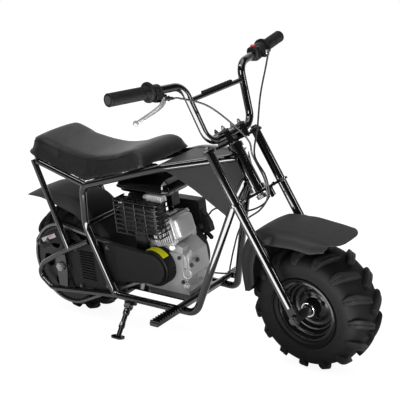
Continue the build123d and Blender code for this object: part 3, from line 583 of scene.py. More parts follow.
# tyres, in (distance from the middle plane, radius): the carcass, and a lug's ridge from crown to shoulder
tyreSet = {"lugs": 15, "phase": 2.2, "steps": 180, "arcRadius": 172, "bead": (56, 82), "wallY": 70.6,
           "wallRings": ((97, 0.9), (113.5, 0.7))}
tyreSide = [(56, 84), (60, 90), (67, 101), (70.5, 104), (70.5, 108), (71.6, 116), (72, 126), (71.4, 136),
            (68.4, 144), (64, 149.5), (58.5, 154), (50, 158), (40, 161), (26, 163.6), (12, 165.2), (0, 165.6)]
lugTop = [(2, 181), (24, 179), (44, 174.5), (60, 168), (68, 157.5), (73.2, 149.5), (73.8, 141), (72.6, 134)]


def alongLine(points, shares):
    # points at even shares of a polyline's length
    p = np.asarray(points, float)
    run = np.concatenate([[0], np.cumsum(np.linalg.norm(np.diff(p, axis=0), axis=1))])
    at = np.asarray(shares) * run[-1]
    return np.stack([np.interp(at, run, p[:, k]) for k in range(p.shape[1])], -1)


def tyreLug(side, turn):
    # a chevron bar: it runs back as it runs out, and its top follows the crown and folds down the shoulder
    shares = np.array([0, .02, .10, .2, .3, .4, .5, .58, .66, .73, .79, .85, .9, .95, 1])
    top = alongLine(lugTop, shares)
    lateral = top[:, 0]
    back = np.interp(lateral, [2, 20, 54, 66, 74], [5, -4, -21, -24, -25])
    half = np.interp(shares, [0, .1, .5, .75, .85, 1], [7.6, 9.6, 13.0, 14.0, 10.6, 8.0])
    sideways = np.interp(shares, [0, .55, .8, 1], [0, 0, .75, 1])
    towardHub = np.interp(shares, [0, .55, .8, 1], [1, 1, .65, .12])
    inward = unit(np.stack([sideways, towardHub], -1))
    depth = np.interp(shares, [0, .5, .75, .9, 1], [19.5, 19.5, 18, 11, 6])[:, None]
    section = np.array([(-1.22, 1), (-1.0, .10), (-.9, .02), (-.75, 0), (-.15, 0), (0, .07),
                        (.15, 0), (.75, 0), (.9, .02), (1.0, .10), (1.22, 1)])
    ends = np.isin(shares, (0, 1))[:, None]  # the first and last ring lie inside the carcass
    down = (section[None, :, 1] + .9 * ends) * depth
    y = lateral[:, None] - inward[:, :1] * down
    r = top[:, 1:] - inward[:, 1:] * down
    angle = radians(turn) + (back[:, None] + section[None, :, 0] * half[:, None]) / tyreSet["arcRadius"]
    return loft(np.stack([r * np.sin(angle), side * y, r * np.cos(angle)], -1))


def shoulderMark(side, turn):
    # the square tab under each bar on the sidewall
    angle = radians(turn) - 24 / tyreSet["arcRadius"]
    radial = np.array([sin(angle), 0, cos(angle)])
    outward = side * yWay
    place = 121 * radial + tyreSet["wallY"] * outward
    return prism(roundRect(11, 12, 2, 3), -1.5, 1.3, place, np.cross(radial, outward), radial)


def tyreShell():
    # the carcass turned round the axle, a lug and a tab at each step of both sides, two rings on each wall
    bead, beadRadius = tyreSet["bead"]
    outer = np.array([(-y, r) for y, r in tyreSide[:-1]] + tyreSide[::-1], float)
    ring = np.vstack([outer, [(bead, beadRadius), (-bead, beadRadius)]])
    heap = Heap().add(lathe(ring, (0, 0, 0), (0, 1, 0), tyreSet["steps"], closed=True))
    step = 360 / tyreSet["lugs"]
    for side, first in ((1, tyreSet["phase"] + step / 2), (-1, tyreSet["phase"])):
        for k in range(tyreSet["lugs"]):
            heap.add(tyreLug(side, first + k * step))
            heap.add(shoulderMark(side, first + k * step))
    for side in (-1, 1):
        for radius, height in tyreSet["wallRings"]:
            face = side * (tyreSet["wallY"] + height)
            back = side * 66
            edge = [(back, radius - 2), (face, radius - .8), (face, radius + .8), (back, radius + 2)]
            heap.add(lathe(edge, (0, 0, 0), (0, 1, 0), 120, closed=True))
    return heap.shell()


tyrePoints, tyreFaces = tyreShell()

# rims in (distance from the middle plane, radius): rolled lips, stepped dish and hub
rimOutline = [(-60, 87), (-58.5, 89), (-56.6, 87.5), (-56.2, 82), (56.2, 82), (56.6, 87.5), (58.5, 89),
              (60, 87), (60, 78), (56, 76), (30, 74), (8, 72), (-1, 69), (-3, 62), (-3, 52), (-8, 44),
              (-8, 26), (40, 24), (46, 21), (46, 8.2), (-46, 8.2), (-46, 20), (-44, 22), (-18, 25),
              (-16, 32), (-16, 39), (-13, 43), (-10.5, 48), (-10.5, 54), (-13, 59), (-20, 61.5), (-24, 63.5),
              (-25, 67), (-30, 69.5), (-38, 70.5), (-41, 73), (-42, 76.5), (-57, 78), (-60, 80)]


def rimShell():
    # the outline turned round the axle, with four hub bolts and the air valve
    heap = Heap().add(lathe(rimOutline, (0, 0, 0), (0, 1, 0), 96, closed=True))
    for k in range(4):
        turn = k * pi / 2 + .4
        heap.add(hexBolt((32 * cos(turn), -15.5, 32 * sin(turn)), (0, -1, 0), 10, 5, 8, 3))
    valve = [(0, .01), (0, 4), (16, 3.6), (18, 4.4), (22, 4.4), (22, .01)]
    heap.add(lathe(valve, (0, -40, 71), (0, -0.6, -0.8), 16))
    return heap.shell()


rimPoints, rimFaces = rimShell()
hubRing = [(-47.2, 16.8), (-47.8, 18.6), (-47.2, 20.6), (-44, 21.2), (-44, 16.4)]


crownSet = {"carcass": 165, "lugHeight": 12, "flatHalf": 30, "shoulderFall": 0.22}


def markCrown(piece, hub):
    # how far each point stands over the carcass, for the paint: 0 in the grooves, 1 on the lug tops
    upright = unparked(vertexPlaces(piece.data))
    reach = np.hypot(upright[:, 0] - hub, upright[:, 2])
    fall = crownSet["shoulderFall"] * np.maximum(np.abs(upright[:, 1]) - crownSet["flatHalf"], 0)
    share = np.clip((reach - crownSet["carcass"] + fall) / crownSet["lugHeight"], 0, 1)
    piece.data.attributes.new("crown", "FLOAT", "POINT").data.foreach_set("value", share.astype(np.float32))


for wheel, hub in (("front", frontX), ("rear", rearX)):
    move = hub * xWay
    body = f"{wheel}_wheel"
    tyre = makePiece(f"{wheel}KnobblyTyre", (tyrePoints + move, tyreFaces), body, "tyreRubber", crease=28)
    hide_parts(f"{wheel}_tyre")
    markCrown(tyre, hub)
    rim = makePiece(f"{wheel}DishedRim", (rimPoints + move, rimFaces), body, "rimPaint", crease=40)
    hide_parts(f"{wheel}_rim")
    seal = lathe(hubRing, (hub, 0, 0), (0, 1, 0), 48, closed=True)
    makePiece(f"{wheel}HubSeal", seal, body, "chrome")
print("stage: wheels")

# mudguards: line as (angle round the hub, gap outside the tyre), edge as (across, up), flap as (share of the
# length, times the edge's depth), tail and nose as (distance from the middle, what is cut off the end there)
guardSet = {
    "rear": {"hub": rearX, "line": [(135.2, 88), (122, 74), (106, 60), (70, 42), (34.4, 31), (9.4, 22)],
             "bends": [150, 150, 110, 60],
             "edge": [(-78, -40), (-77.6, -25), (-74, -16), (-67, -11), (-62, -3.5), (-56, -.6), (-50, 0)],
             "flap": [(0, .05), (.10, .1), (.30, .75), (.5, 1), (.9, 1), (1, .8)],
             "tail": [(0, 0), (30, 0), (42, 8), (50, 16), (50.6, 34), (64, 38), (64.6, 56), (79, 60)],
             "nose": [(0, 0), (79, 0)]},
    "front": {"hub": frontX,
              "line": [(174.6, 9), (163, 24), (146, 56), (129, 76), (116, 69), (94, 46), (74, 44),
                       (59.5, 57)],
              "bends": [200, 120, 70, 70, 160, 200],
              "edge": [(-80, -42), (-79.5, -34), (-76, -27), (-71, -22), (-70, -14), (-68, -5),
                       (-64, -1.2), (-56, 0)],
              "flap": [(0, .30), (.08, 1.15), (.28, 1.25), (.42, 1), (.84, .92), (.93, .5), (1, .04)],
              "tail": [(0, 0), (50, 2), (79, 16), (81, 16)],
              "nose": [(0, 0), (28, 1), (46, 6), (60, 17), (68, 30), (76, 34), (81, 34)]},
}
guardSheetSet = {"stations": 150, "crown": 1.6, "wall": 3, "edge": 0.9}


def guardSheet(name):
    # a folded section carried along a line round the wheel; each strip has its own ends and its flap deepens
    g = guardSet[name]
    count = guardSheetSet["stations"]
    reach = [(bikeSizes["tyreRadius"] + gap, radians(angle)) for angle, gap in g["line"]]
    corners = [(g["hub"] + r * cos(a), r * sin(a)) for r, a in reach]
    line = alongLine(softCorners(corners, g["bends"], 14), np.linspace(0, 1, count))
    path = np.stack([line[:, 0], np.zeros(len(line)), line[:, 1]], -1)
    length = np.linalg.norm(np.diff(path, axis=0), axis=1).sum()
    edge = np.array(g["edge"], float)
    fold = edge[-1, 0]
    flat = np.linspace(fold + 6, -fold - 6, 15)
    roof = np.stack([flat, guardSheetSet["crown"] * (1 - (flat / fold) ** 2)], -1)
    strips = np.vstack([edge, roof, edge[::-1] * (-1, 1)])
    width = np.abs(strips[:, 0])
    first = np.interp(width, *zip(*g["tail"])) / length
    last = 1 - np.interp(width, *zip(*g["nose"])) / length
    share = first[None] + np.linspace(0, 1, count)[:, None] * (last - first)[None]
    at = share * (len(path) - 1)
    low = np.clip(at.astype(int), 0, len(path) - 2)
    part = (at - low)[..., None]
    normal = unit(np.cross(unit(np.gradient(path, axis=0)), (0, 1, 0)))
    normal *= np.sign((normal * (path - (g["hub"], 0, 0))).sum(1))[:, None]
    spot = path[low] * (1 - part) + path[low + 1] * part
    lift = normal[low] * (1 - part) + normal[low + 1] * part
    depth = strips[:, 1] * np.where(strips[:, 1] < 0, np.interp(share, *zip(*g["flap"])), 1)
    points = spot + lift * depth[..., None] + yWay * strips[:, 0][None, :, None]
    return points.reshape(-1, 3), gridFaces(count, len(strips))


for name, body in (("rear", "frame"), ("front", "steering")):
    wall = guardSheetSet["wall"]
    guard = makePiece(f"{name}Mudguard", guardSheet(name), body, f"{name}Guard", wall=wall, crease=50)
    addBevel(guard, guardSheetSet["edge"], 60)
    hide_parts(f"{name}_fender")


def guardTabs():
    # the front guard's bosses and strips out to the fork legs, each with its screw
    heap = Heap()
    for side in (-1, 1):
        heap.add(post(byFork((side * 78, -26, 217)), (0, side, 0), 9, 15.6))
        heap.add(hexBolt(byFork((side * 80, 8, 196)), (0, side, 0), 10, 5, 8))
        a, b = byFork([(side * 94.6, 10, 226), (side * 94.6, -30, 214)])
        along = unit(b - a)
        heap.add(slab((a + b) / 2, (np.linalg.norm(b - a), 2.4, 14), along, np.cross(along, yWay)))
    return heap.shell()


makePiece("guardTabs", guardTabs(), "steering", "frontGuard", bevel=0.6, crease=32)
print("stage: mudguards")

# engine: the cylinder leans back from its foot on the crankcase
engineSet = {"tilt": 15, "fins": 6, "finPitch": 7.2, "headFins": 4, "headPitch": 8.4}
cylTilt = radians(engineSet["tilt"])
cylAlong = np.array([cos(cylTilt), 0, sin(cylTilt)])
cylUp = np.array([-sin(cylTilt), 0, cos(cylTilt)])
cylFoot = np.array([crankX - 46, -8, crankZ + 86])


def onCylinder(along, side, up):
    # a point measured from the cylinder's foot: along its axis, across the bike and up its face
    return cylFoot + cylAlong * along + yWay * side + cylUp * up


def valveCover():
    # pressed lid with a rolled rim, and a bolted boss at each of its corners
    stages = [(112, 86, 72, 10), (115, 86, 72, 10), (117, 84, 70, 10), (117.5, 78, 64, 10),
              (126, 76.5, 62.5, 10), (130, 74.5, 60.5, 10), (132.6, 71, 57, 9), (134, 66, 52, 8),
              (134.6, 56, 42, 6)]
    heap = Heap().add(stacked(stages, cylFoot, cylAlong, yWay, cylUp, 8))
    for side, up in ((-40, -33), (40, -33), (-40, 33), (40, 33)):
        heap.add(post(onCylinder(110, side, up), cylAlong, 7.5, 7, 1))
        heap.add(hexBolt(onCylinder(117, side, up), cylAlong, 8, 5))
    return heap.shell()


def cylinderHead():
    # alloy head: a block with upright fins on the drive side and a lug at each lower corner
    heap = Heap()
    heap.add(slab(onCylinder(98, 2, 0), (26, 78, 66), cylAlong, cylUp))
    for k in range(engineSet["headFins"]):
        along = 107 - engineSet["headPitch"] * k
        heap.add(slab(onCylinder(along, -3, -1), (3.2, 98, 78 - 3 * k), cylAlong, cylUp))
    for side in (-46, 46):
        heap.add(post(onCylinder(86, side, -38), cylAlong, 8, 23, 1))
        heap.add(hexBolt(onCylinder(109, side, -38), cylAlong, 9, 5, 6))
    heap.add(slab(onCylinder(96, -10, 42), (20, 36, 12), cylAlong, cylUp))
    return heap.shell()


def cylinderFins():
    # thin rounded plates at an even pitch along the cylinder
    outline = roundRect(98, 86, 8, 5)
    feet = [onCylinder(40 + engineSet["finPitch"] * k, 0, 0) for k in range(engineSet["fins"])]
    return together([prism(outline, 0, 2.6, foot, (0, -1, 0), cylUp) for foot in feet])


lid = makePiece("valveLid", valveCover(), "frame", "coverAlloy", crease=30)
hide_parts("valve_cover")
head = makePiece("cylinderHead", cylinderHead(), "frame", "castAlloy", bevel=1.2)
makePiece("coolingFins", cylinderFins(), "frame", "castAlloy", bevel=0.5)


def crankcaseDress():
    # cast face details: side and front plates, ribs, filler neck with its plug, drain boss and a lug on top
    heap = Heap()
    heap.add(prism(roundRect(70, 92, 13, 7), 0, 3.2, (crankX + 52, -51, crankZ - 4)))
    heap.add(prism(roundRect(54, 40, 6, 5), -1, 3, (crankX + 100, -8, crankZ - 6), yWay))
    for k in range(4):
        heap.add(slab((crankX + 97.5, -36 + 5 * k, crankZ + 24 + 3 * k), (6, 2.4, 34)))
    neck = (crankX + 88, -40, crankZ - 22)
    neckWay = unit((0.80, -0.50, 0.42))
    filler = [(-24, .01), (-24, 15), (6, 13), (10, 12), (11, 15), (15, 15), (16, 13.6), (16, 10), (12, 9),
              (12, .01)]
    heap.add(lathe(filler, neck, neckWay, 32))
    heap.add(prism(roundRect(17, 5, 2.4, 4), 12, 19, neck, *axes(neckWay)[:2]))
    drain = (crankX + 88, -44, crankZ - 58)
    drainWay = (0.9, -0.4, 0)
    heap.add(hexBolt(drain, drainWay, 14, 9, 11))
    heap.add(lathe([(-8, .01), (-8, 12), (0, 11), (1, .01)], drain, drainWay, 24))
    heap.add(slab((crankX + 60, -30, crankZ + 58), (52, 26, 24), unit((1, 0, -.35)), unit((.35, 0, 1))))
    heap.add(post((crankX + 44, -40, crankZ + 62), (.7, -.7, .1), 9, 27, 1))
    return heap.shell()


makePiece("crankcaseDress", crankcaseDress(), "frame", "castAlloy", bevel=0.8)


def caseBolts():
    # dark flanged bolts on the case's front cover and side cover
    front = [hexBolt((crankX + 103, y, crankZ + z), xWay, 9, 5, 7) for y, z in ((-31, 6), (-2, 12))]
    side = [hexBolt((crankX + x, -53.6, crankZ + z), -yWay, 8, 5, 6) for x, z in ((80, 34), (84, -42))]
    return together(front + side)


makePiece("caseBolts", caseBolts(), "frame", "darkSteel", crease=32)

# silencer cage: bars and posts of a pressed grille over the dark box
cage = {"x": crankX - 26, "z": crankZ + 156, "long": 170, "tall": 106, "outer": -104, "inner": -54,
        "bars": 8, "posts": 5}


def cageBars():
    # bars bent round three sides, posts bent over the top, thin strips on top and ends, and dark plates
    # behind, which are painted shade behind the cage and partly a strut down to the drum
    heap = Heap()
    x, z, inner, outer = (cage[key] for key in ("x", "z", "inner", "outer"))
    w = cage["long"] / 2
    h = cage["tall"] / 2
    section = roundRect(4.4, 3.2, 1.2, 3)
    for level in np.linspace(z - h + 3, z + h - 3, cage["bars"]):
        corners = [(x - w, inner, level), (x - w, outer, level), (x + w, outer, level), (x + w, inner, level)]
        heap.add(sweep(softCorners(corners, [9, 9], 6), section[:, ::-1]))
    heap.add(slab((x, (inner + outer) / 2 + 3, z + h - 6), (2 * w - 10, 40, 2.5)))
    # dark plates as painted shade behind the cage; the lower one also stands for a strut down to the drum
    heap.add(slab((crankX - 53, -58, crankZ + 72), (42, 10, 84)))
    heap.add(slab((crankX + 30, 6, crankZ + 198), (22, 34, 50)))
    for at in np.linspace(x - w + 6, x + w - 6, cage["posts"]):
        corners = [(at, outer + 1.5, z - h + 2), (at, outer + 1.5, z + h - 3), (at, inner, z + h - 1)]
        heap.add(sweep(softCorners(corners, [7], 6), section * (1.3, .8), up=xWay))
    for y in (-92, -80, -68):
        heap.add(slab((x, y, z + h - 1.2), (cage["long"] - 6, 3.4, 2)))
    for side in (-1, 1):
        for y in (-90, -72):
            heap.add(slab((x + side * (w - 1.2), y, z), (2, 3.4, cage["tall"] - 8)))
    return heap.shell()


def silencerBox():
    # pressed box with a seam round its middle, its inlet pipe and four studs
    x = cage["x"]
    z = cage["z"]
    pressed = [(-57, -6, 16), (-60, -1, 18), (-73, 0, 18), (-74, 4, 20), (-76, 4, 20), (-77, 0, 18),
               (-90, -1, 18), (-94, -7, 15), (-95.5, -16, 10)]
    stages = [(y, 140 + grow, 84 + grow, corner) for y, grow, corner in pressed]
    heap = Heap().add(stacked(stages, (x, 0, z), yWay, xWay, zWay, 7))
    inlet = np.array([(30, -60, -30), (34, -44, -34), (30, -26, -36), (22, -8, -36)]) + (x, 0, z)
    heap.add(sweep(smoothLine(inlet, 8), ringOf(12, 20)))
    for px, pz in ((-4, -2), (20, -2), (-8, -18), (30, -30)):
        heap.add(hexBolt((x + px, -95, z + pz), (0, -1, 0), 9, 5, 6, 3))
    return heap.shell()


cagePiece = makePiece("silencerCage", cageBars(), "frame", "cagePaint", crease=40)
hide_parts("muffler_guard")
box = makePiece("silencerBox", silencerBox(), "frame", "engineBlack", crease=40)
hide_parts("muffler")

# fuel tank
tankSet = {"x": crankX - 30, "z": crankZ + 218, "supports": (-48, 42)}


def tankShell():
    # lower shell, rolled seam, steep band and faceted lid as rounded rectangles, with supports and a cap
    stages = [(0, 176, 112, 20), (2, 182, 118, 22), (13, 192, 128, 24), (14.5, 204, 140, 27),
              (16, 206, 142, 28), (18, 205, 141, 27), (19.2, 198, 134, 24), (22, 196.5, 132.5, 23),
              (33, 188, 124, 21), (36, 184, 120, 20), (41, 168, 106, 18), (47, 146, 86, 16),
              (51.5, 120, 64, 14), (53.6, 84, 36, 10), (54, 40, 14, 5)]
    x = tankSet["x"]
    z = tankSet["z"]
    heap = Heap().add(stacked(stages, (x, 0, z), zWay, xWay, yWay, 8))
    for support in tankSet["supports"]:
        heap.add(slab((x + support, 13, z - 58), (10, 16, 116)))
    cap = [(0, .01), (0, 22), (4, 22), (5, 19), (12, 19), (14, 17), (14, .01)]
    heap.add(lathe(cap, (x - 20, 22, z + 48), zWay, 40))
    return heap.shell()


tank = makePiece("fuelTank", tankShell(), "frame", "tankPaint", bevel=0.8, crease=24)
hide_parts("engine_tank")

# clutch drum and drive cover
drum = {"x": crankX + 4, "z": crankZ, "radius": 56.6, "ribs": 44, "ribRadius": 56.2}


def drumShell():
    # turned drum with a stepped shoulder and a ring groove; its rim carries flat ribs
    profile = [(43, .01), (43, 55), (44, 56.6), (84, 56.6), (86, 56.4), (88.4, 55.6), (89.8, 53.6),
               (90.2, 51.5), (89.6, 50), (84, 49.4), (84, .01)]
    middlePoint = np.array([drum["x"], 0, drum["z"]])
    heap = Heap().add(lathe(profile, middlePoint, (0, -1, 0), 96))
    for angle in np.arange(drum["ribs"]) * tau / drum["ribs"]:
        out = np.array([cos(angle), 0, sin(angle)])
        spot = middlePoint + drum["ribRadius"] * out - 65 * yWay
        heap.add(slab(spot, (3.4, 38, 2.8), np.cross(yWay, out), out))
    return heap.shell()


bandSet = {"from": 42, "to": 110, "low": -86, "high": -62, "lift": 1.75, "film": 0.5}


def labelBand():
    # a film laid round the drum: four corners of a thin strip at each angle, out from the axis
    angle = np.linspace(radians(bandSet["from"]), radians(bandSet["to"]), 32)
    out = np.stack([np.cos(angle), 0 * angle, np.sin(angle)], -1)[:, None]
    top = drum["radius"] + bandSet["lift"]
    reach = np.array([top, top, top - bandSet["film"], top - bandSet["film"]])[None, :, None]
    place = np.array([bandSet["low"], bandSet["high"], bandSet["high"], bandSet["low"]])[None, :, None]
    return loft(np.array([drum["x"], 0, drum["z"]]) + out * reach + yWay * place)


def hull(points):
    # the outline round flat points: sorted along x, then a lower and an upper chain that turn one way only
    p = sorted(map(tuple, points))
    half = []
    for order in (p, p[::-1]):
        chain = []
        for q in order:
            while len(chain) > 1:
                (ax, az), (bx, bz) = chain[-2:]
                if (bx - ax) * (q[1] - az) - (bz - az) * (q[0] - ax) > 0:
                    break
                chain.pop()
            chain.append(q)
        half += chain[:-1]
    return np.array(half)


def coverShell():
    # flat drive cover: the hull of the clutch circle and a rounded tail, a rolled rim, and the tail's bars
    turn = np.linspace(0, tau, 73)[:-1]
    rings = []
    for y, inset in ((-79.5, 0), (-92, 0), (-94.5, .6), (-96.3, 2.2), (-97, 4.6), (-97, 12)):
        circle = np.stack([np.cos(turn), np.sin(turn)], -1) * (48 - inset) + (crankX + 2, crankZ)
        tail = roundRect(30 - inset, 124 - 2 * inset, 8, 6, (crankX - 168 + inset / 2, crankZ - 6))
        outline = hull(np.vstack([circle, tail]))
        line = alongLine(np.vstack([outline, outline[:1]]), np.linspace(0, 1, 161)[:-1])
        rings.append(np.stack([line[:, 0], np.full(len(line), y), line[:, 1]], -1))
    heap = Heap().add(loft(rings))
    for k in range(11):
        z = crankZ + 44 - 8 * k
        heap.add(slab((crankX - 152, -97.2, z), (40 - 1.2 * k, 1.6, 3.2)))
    return heap.shell()


makePiece("clutchDrum", drumShell(), "frame", "plasticBlack", crease=30)
cover = makePiece("driveCover", coverShell(), "frame", "panelGrey", crease=30)
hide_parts("clutch_guard")
makePiece("yellowStrip", labelBand(), "frame", "yellowLabel")
print("stage: engine")


starterSet = {"x": crankX - 8, "z": crankZ, "vents": 20, "bolts": 3}


def starterShroud():
    # turned shroud with vents round its face, its bolts, the upright cowl and the ear with its knob
    x = starterSet["x"]
    z = starterSet["z"]
    profile = [(56, .01), (56, 90), (58, 92), (80, 92), (86, 90.5), (91, 86), (93, 80), (94, 76), (96, 74.5),
               (103, 72), (106, 69), (107, 60), (107, 22), (105, 19), (105, .01)]
    heap = Heap().add(lathe(profile, (x, 0, z), (0, 1, 0), 96))
    for k in range(starterSet["vents"]):
        a = k * tau / starterSet["vents"]
        out = np.array([cos(a), 0, sin(a)])
        heap.add(slab(np.array([x, 107.2, z]) + out * 44, (28, 2.6, 5), out, np.cross(out, yWay)))
    for k in range(starterSet["bolts"]):
        a = k * tau / starterSet["bolts"] + .5
        heap.add(hexBolt((x + 82 * cos(a), 90, z + 82 * sin(a)), (0, 1, 0), 10, 6, 8))
    heap.add(prism(roundRect(108, 88, 10, 5), 0, 33, (crankX + 2, 91, crankZ + 113)))
    ear = softCorners([(40, 100), (40, 126), (62, 129), (87, 91), (93, 64), (60, 52), (36, 68), (38, 90)],
                      [3, 12, 10, 8, 12, 8], 5)
    heap.add(prism(ear, 0, 17, (crankX, 92, crankZ)))
    knob = [(-3, .01), (-3, 9), (4, 9), (5.5, 7.5), (6, .01)]
    heap.add(lathe(knob, (crankX + 66, 74, crankZ + 84), (0, -1, 0), 32))
    return heap.shell()


def pullHandle():
    # a waisted grip on a short rope at the shroud's front
    a = np.array([crankX + 58, 100, crankZ + 44])
    b = np.array([crankX + 92, 101, crankZ + 82])
    along = unit(b - a)
    heap = Heap().add(lathe([(0, .01), (0, 5), (18, 5), (19, 3), (19, .01)], a - along * 12, along, 24))
    side = np.cross(along, yWay)
    grip = np.linspace(-26, 26, 15)
    wide = np.interp(np.abs(grip), [0, 18, 24, 26], [5.5, 6.5, 6, 2])
    heap.add(sweep((a + along * 14) + grip[:, None] * side, ringOf(1, 16, 1.2), up=(0, 1, 0), scale=wide))
    return heap.shell()


shroud = makePiece("starterShroud", starterShroud(), "frame", "shroudGrey", bevel=0.8, crease=32)
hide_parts("recoil_starter")
makePiece("pullHandle", pullHandle(), "frame", "plasticBlack")


filterSet = {"x": crankX - 76, "y": 7, "z": crankZ + 118, "long": 96, "wide": 74}


def filterBox():
    # filter box going up by rounded rectangles, with a seam under its lid and two clips behind
    x, y, z, long, wide = filterSet.values()
    grown = [(0, -6, 10), (2, -1, 12), (46, 0, 12), (47, 4, 14), (51, 4, 14), (52, 0, 12), (74, -2, 12),
             (80, -8, 10), (82, -18, 8)]
    stages = [(up, long + grow, wide + grow, corner) for up, grow, corner in grown]
    heap = Heap().add(stacked(stages, (x, y, z), zWay, xWay, yWay, 6))
    for k in (-24, 24):
        heap.add(slab((x - 49, y + k, z + 48), (3, 14, 26)))
    return heap.shell()


def intakeBlock():
    # light box under the tank, with its stub and a bolt
    heap = Heap()
    heap.add(slab((crankX + 28, -64, crankZ + 216), (56, 22, 20)))
    heap.add(post((crankX, -64, crankZ + 214), (-1, 0, 0), 7, 16))
    heap.add(hexBolt((crankX + 40, -74, crankZ + 216), (0, -1, 0), 7, 4, 5))
    return heap.shell()


filterPiece = makePiece("filterBox", filterBox(), "frame", "plasticBlack", bevel=0.8)
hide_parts("air_filter")
makePiece("intakeBlock", intakeBlock(), "frame", "castAlloy", bevel=1.0)
print("stage: starter and intake")


# drive side: louvres, bolts and labels on the chain guard, at the guard's outer face
guardFace = -frameHalf + 8
louvreSet = {"count": 11, "pitch": 9, "middle": 13.2}
driveBolts = [  # place, flats, washer
    ((rearX + 60, guardFace, 68), 11, 9),
    ((rearX + 150, guardFace, 78), 11, 9),
    ((rearX + 186, guardFace, -38), 11, 9),
    ((rearX - 54, guardFace, 76), 10, 8),
    ((rearX - 92, guardFace, 60), 10, 8),
    ((rearX + 22, guardFace, 92), 10, 8),
    ((rearX + 70, guardFace, -58), 10, 8),
    ((crankX - 162, -97, crankZ + 44), 10, 8),
    ((crankX - 166, -97, crankZ - 60), 10, 8),
]


def louvreLips():
    # a tilted lip over each louvre at an even pitch, and a raised rib behind them
    heap = Heap()
    for k in range(louvreSet["count"]):
        z = louvreSet["middle"] + louvreSet["pitch"] * (k - louvreSet["count"] // 2)
        heap.add(slab((rearX + 106, guardFace, z), (60, 3.4, 2.0), xWay, unit((0, -.45, 1))))
    heap.add(slab((rearX + 24, guardFace, 40), (2.6, 2.4, 96), unit((1, 0, .2)), unit((-.2, 0, 1))))
    return heap.shell()


def labelStrip(start, end, width, lift):
    # a thin film between two points (x, z) of the guard's face
    a = np.array([rearX + start[0], guardFace - lift, start[1]])
    b = np.array([rearX + end[0], guardFace - lift, end[1]])
    along = unit(b - a)
    return slab((a + b) / 2, (np.linalg.norm(b - a), .5, width), along, np.cross(-yWay, along))


makePiece("louvreLips", louvreLips(), "frame", "guardGrey", bevel=0.5)
heads = together([hexBolt(place, -yWay, flats, 5, washer) for place, flats, washer in driveBolts])
makePiece("driveBolts", heads, "frame", "darkSteel", crease=30)
label = labelStrip((-82, 72), (-18, 98), 13, .2)
makePiece("guardLabel", label, "frame", "whiteLabel")
labelField = labelStrip((-58, 84.5), (-34, 94.3), 4, .5)
makePiece("guardLabelEdge", labelField, "frame", "pinkLabel")
print("stage: guards")

# handlebar fittings, measured inboard from the bar's end
barSet = {"end": (frontX - 311.2, 374, 643.3), "bend": (frontX - 279.2, 127, 620.3)}
gripSet = {"left": 134, "right": 114, "ribs": 26}


def barAxes(side):
    # the bar's end, the way inboard along it and the way ahead, square to it
    end = np.array(barSet["end"]) * (1, side, 1)
    bend = np.array(barSet["bend"]) * (1, side, 1)
    along = unit(bend - end)
    ahead = unit(np.cross(along, (0, 0, 1))) * -side
    return end, along, ahead


def byBar(side, inboard, forward, up):
    # a point by its distances from the bar's end: along it, ahead and up
    end, along, ahead = barAxes(side)
    return end + along * inboard + ahead * forward + zWay * up


def gripShell(side, length):
    # turned rubber: closed end with a hole, raised rings and a broad inner flange
    end, inboard, _ = barAxes(side)
    profile = [(1, .01), (1, 3.5), (.4, 4), (.2, 14), (.8, 16.6), (2, 17.4), (5, 17.2), (7, 16)]
    for k in range(gripSet["ribs"]):
        at = 9 + k * (length - 26) / gripSet["ribs"]
        profile += [(at, 15.9), (at + .8, 17.2), (at + 2.2, 17.2), (at + 3.0, 15.9)]
    flange = [(-14, 16.4), (-9, 18), (-7, 25.4), (-6, 26.8), (-3, 27.2), (-.8, 26.4), (0, 24), (0, 11.2)]
    profile += [(length + along, radius) for along, radius in flange]
    return lathe(profile, end, inboard, 48)


for side, which in ((-1, "left"), (1, "right")):
    grip = makePiece(f"{which}Grip", gripShell(side, gripSet[which]), "steering", "gripRubber", crease=40)
    if side < 0:
        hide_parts("grips")


def leverBlade():
    # flattened alloy blade: broad at the pivot, curved along the grip, a ball at its tip
    curve = [(172, 8, -22), (160, 20, -28), (146, 27, -34), (124, 28, -43), (100, 26, -52), (80, 22, -60),
             (66, 18, -66)]
    route = smoothLine([byBar(-1, *spot) for spot in curve], 10)
    share = np.linspace(0, 1, len(route))
    wide = np.interp(share, [0, .15, .35, .8, .93, 1], [8, 9.5, 7.0, 5.2, 4.4, 4.0])
    heap = Heap().add(sweep(route, ringOf(1, 20, .55), scale=wide))
    turn = np.linspace(0, pi, 15)
    ball = np.stack([-7.4 * np.cos(turn), 7.4 * np.sin(turn) + .01], -1)
    heap.add(lathe(ball, byBar(-1, 64, 17.4, -67), zWay, 28))
    heap.add(post(byBar(-1, 166, 12, -24), (0.1, 0, 1), 8, 9, steps=28, start=-9))
    return heap.shell()


def leverPerch():
    # split clamp round the bar with its screws, a bracket under it and the cable's adjuster
    end, along, ahead = barAxes(-1)
    clamp = [(0, 11.3), (0, 16.4), (2, 17.4), (22, 17.4), (24, 16.4), (24, 11.3)]
    heap = Heap().add(lathe(clamp, end + along * 141, along, 40, closed=True))
    heap.add(slab(byBar(-1, 161, 4, -19), (38, 22, 17), along))
    heap.add(slab(byBar(-1, 153, 14, -10), (20, 12, 20), along))
    for k in (146, 159):
        heap.add(hexBolt(byBar(-1, k, 16, 3), ahead, 8, 5, 5))
    heap.add(hexBolt(byBar(-1, 166, 12, -11), (0, 0, 1), 10, 5, 6))
    adjuster = [(0, .01), (0, 5.5), (10, 5.5), (10, 7.2), (15, 7.2), (15, 4.6), (24, 4.2), (24, .01)]
    towardCable = byBar(-1, 200, 40, -22) - byBar(-1, 174, 19, -21)
    heap.add(lathe(adjuster, byBar(-1, 168, 15, -20), towardCable, 24))
    return heap.shell()


blade = makePiece("leverBlade", leverBlade(), "steering", "brightAlloy", crease=50)
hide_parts("brake_lever")
makePiece("leverPerch", leverPerch(), "steering", "plasticBlack", bevel=1.0)


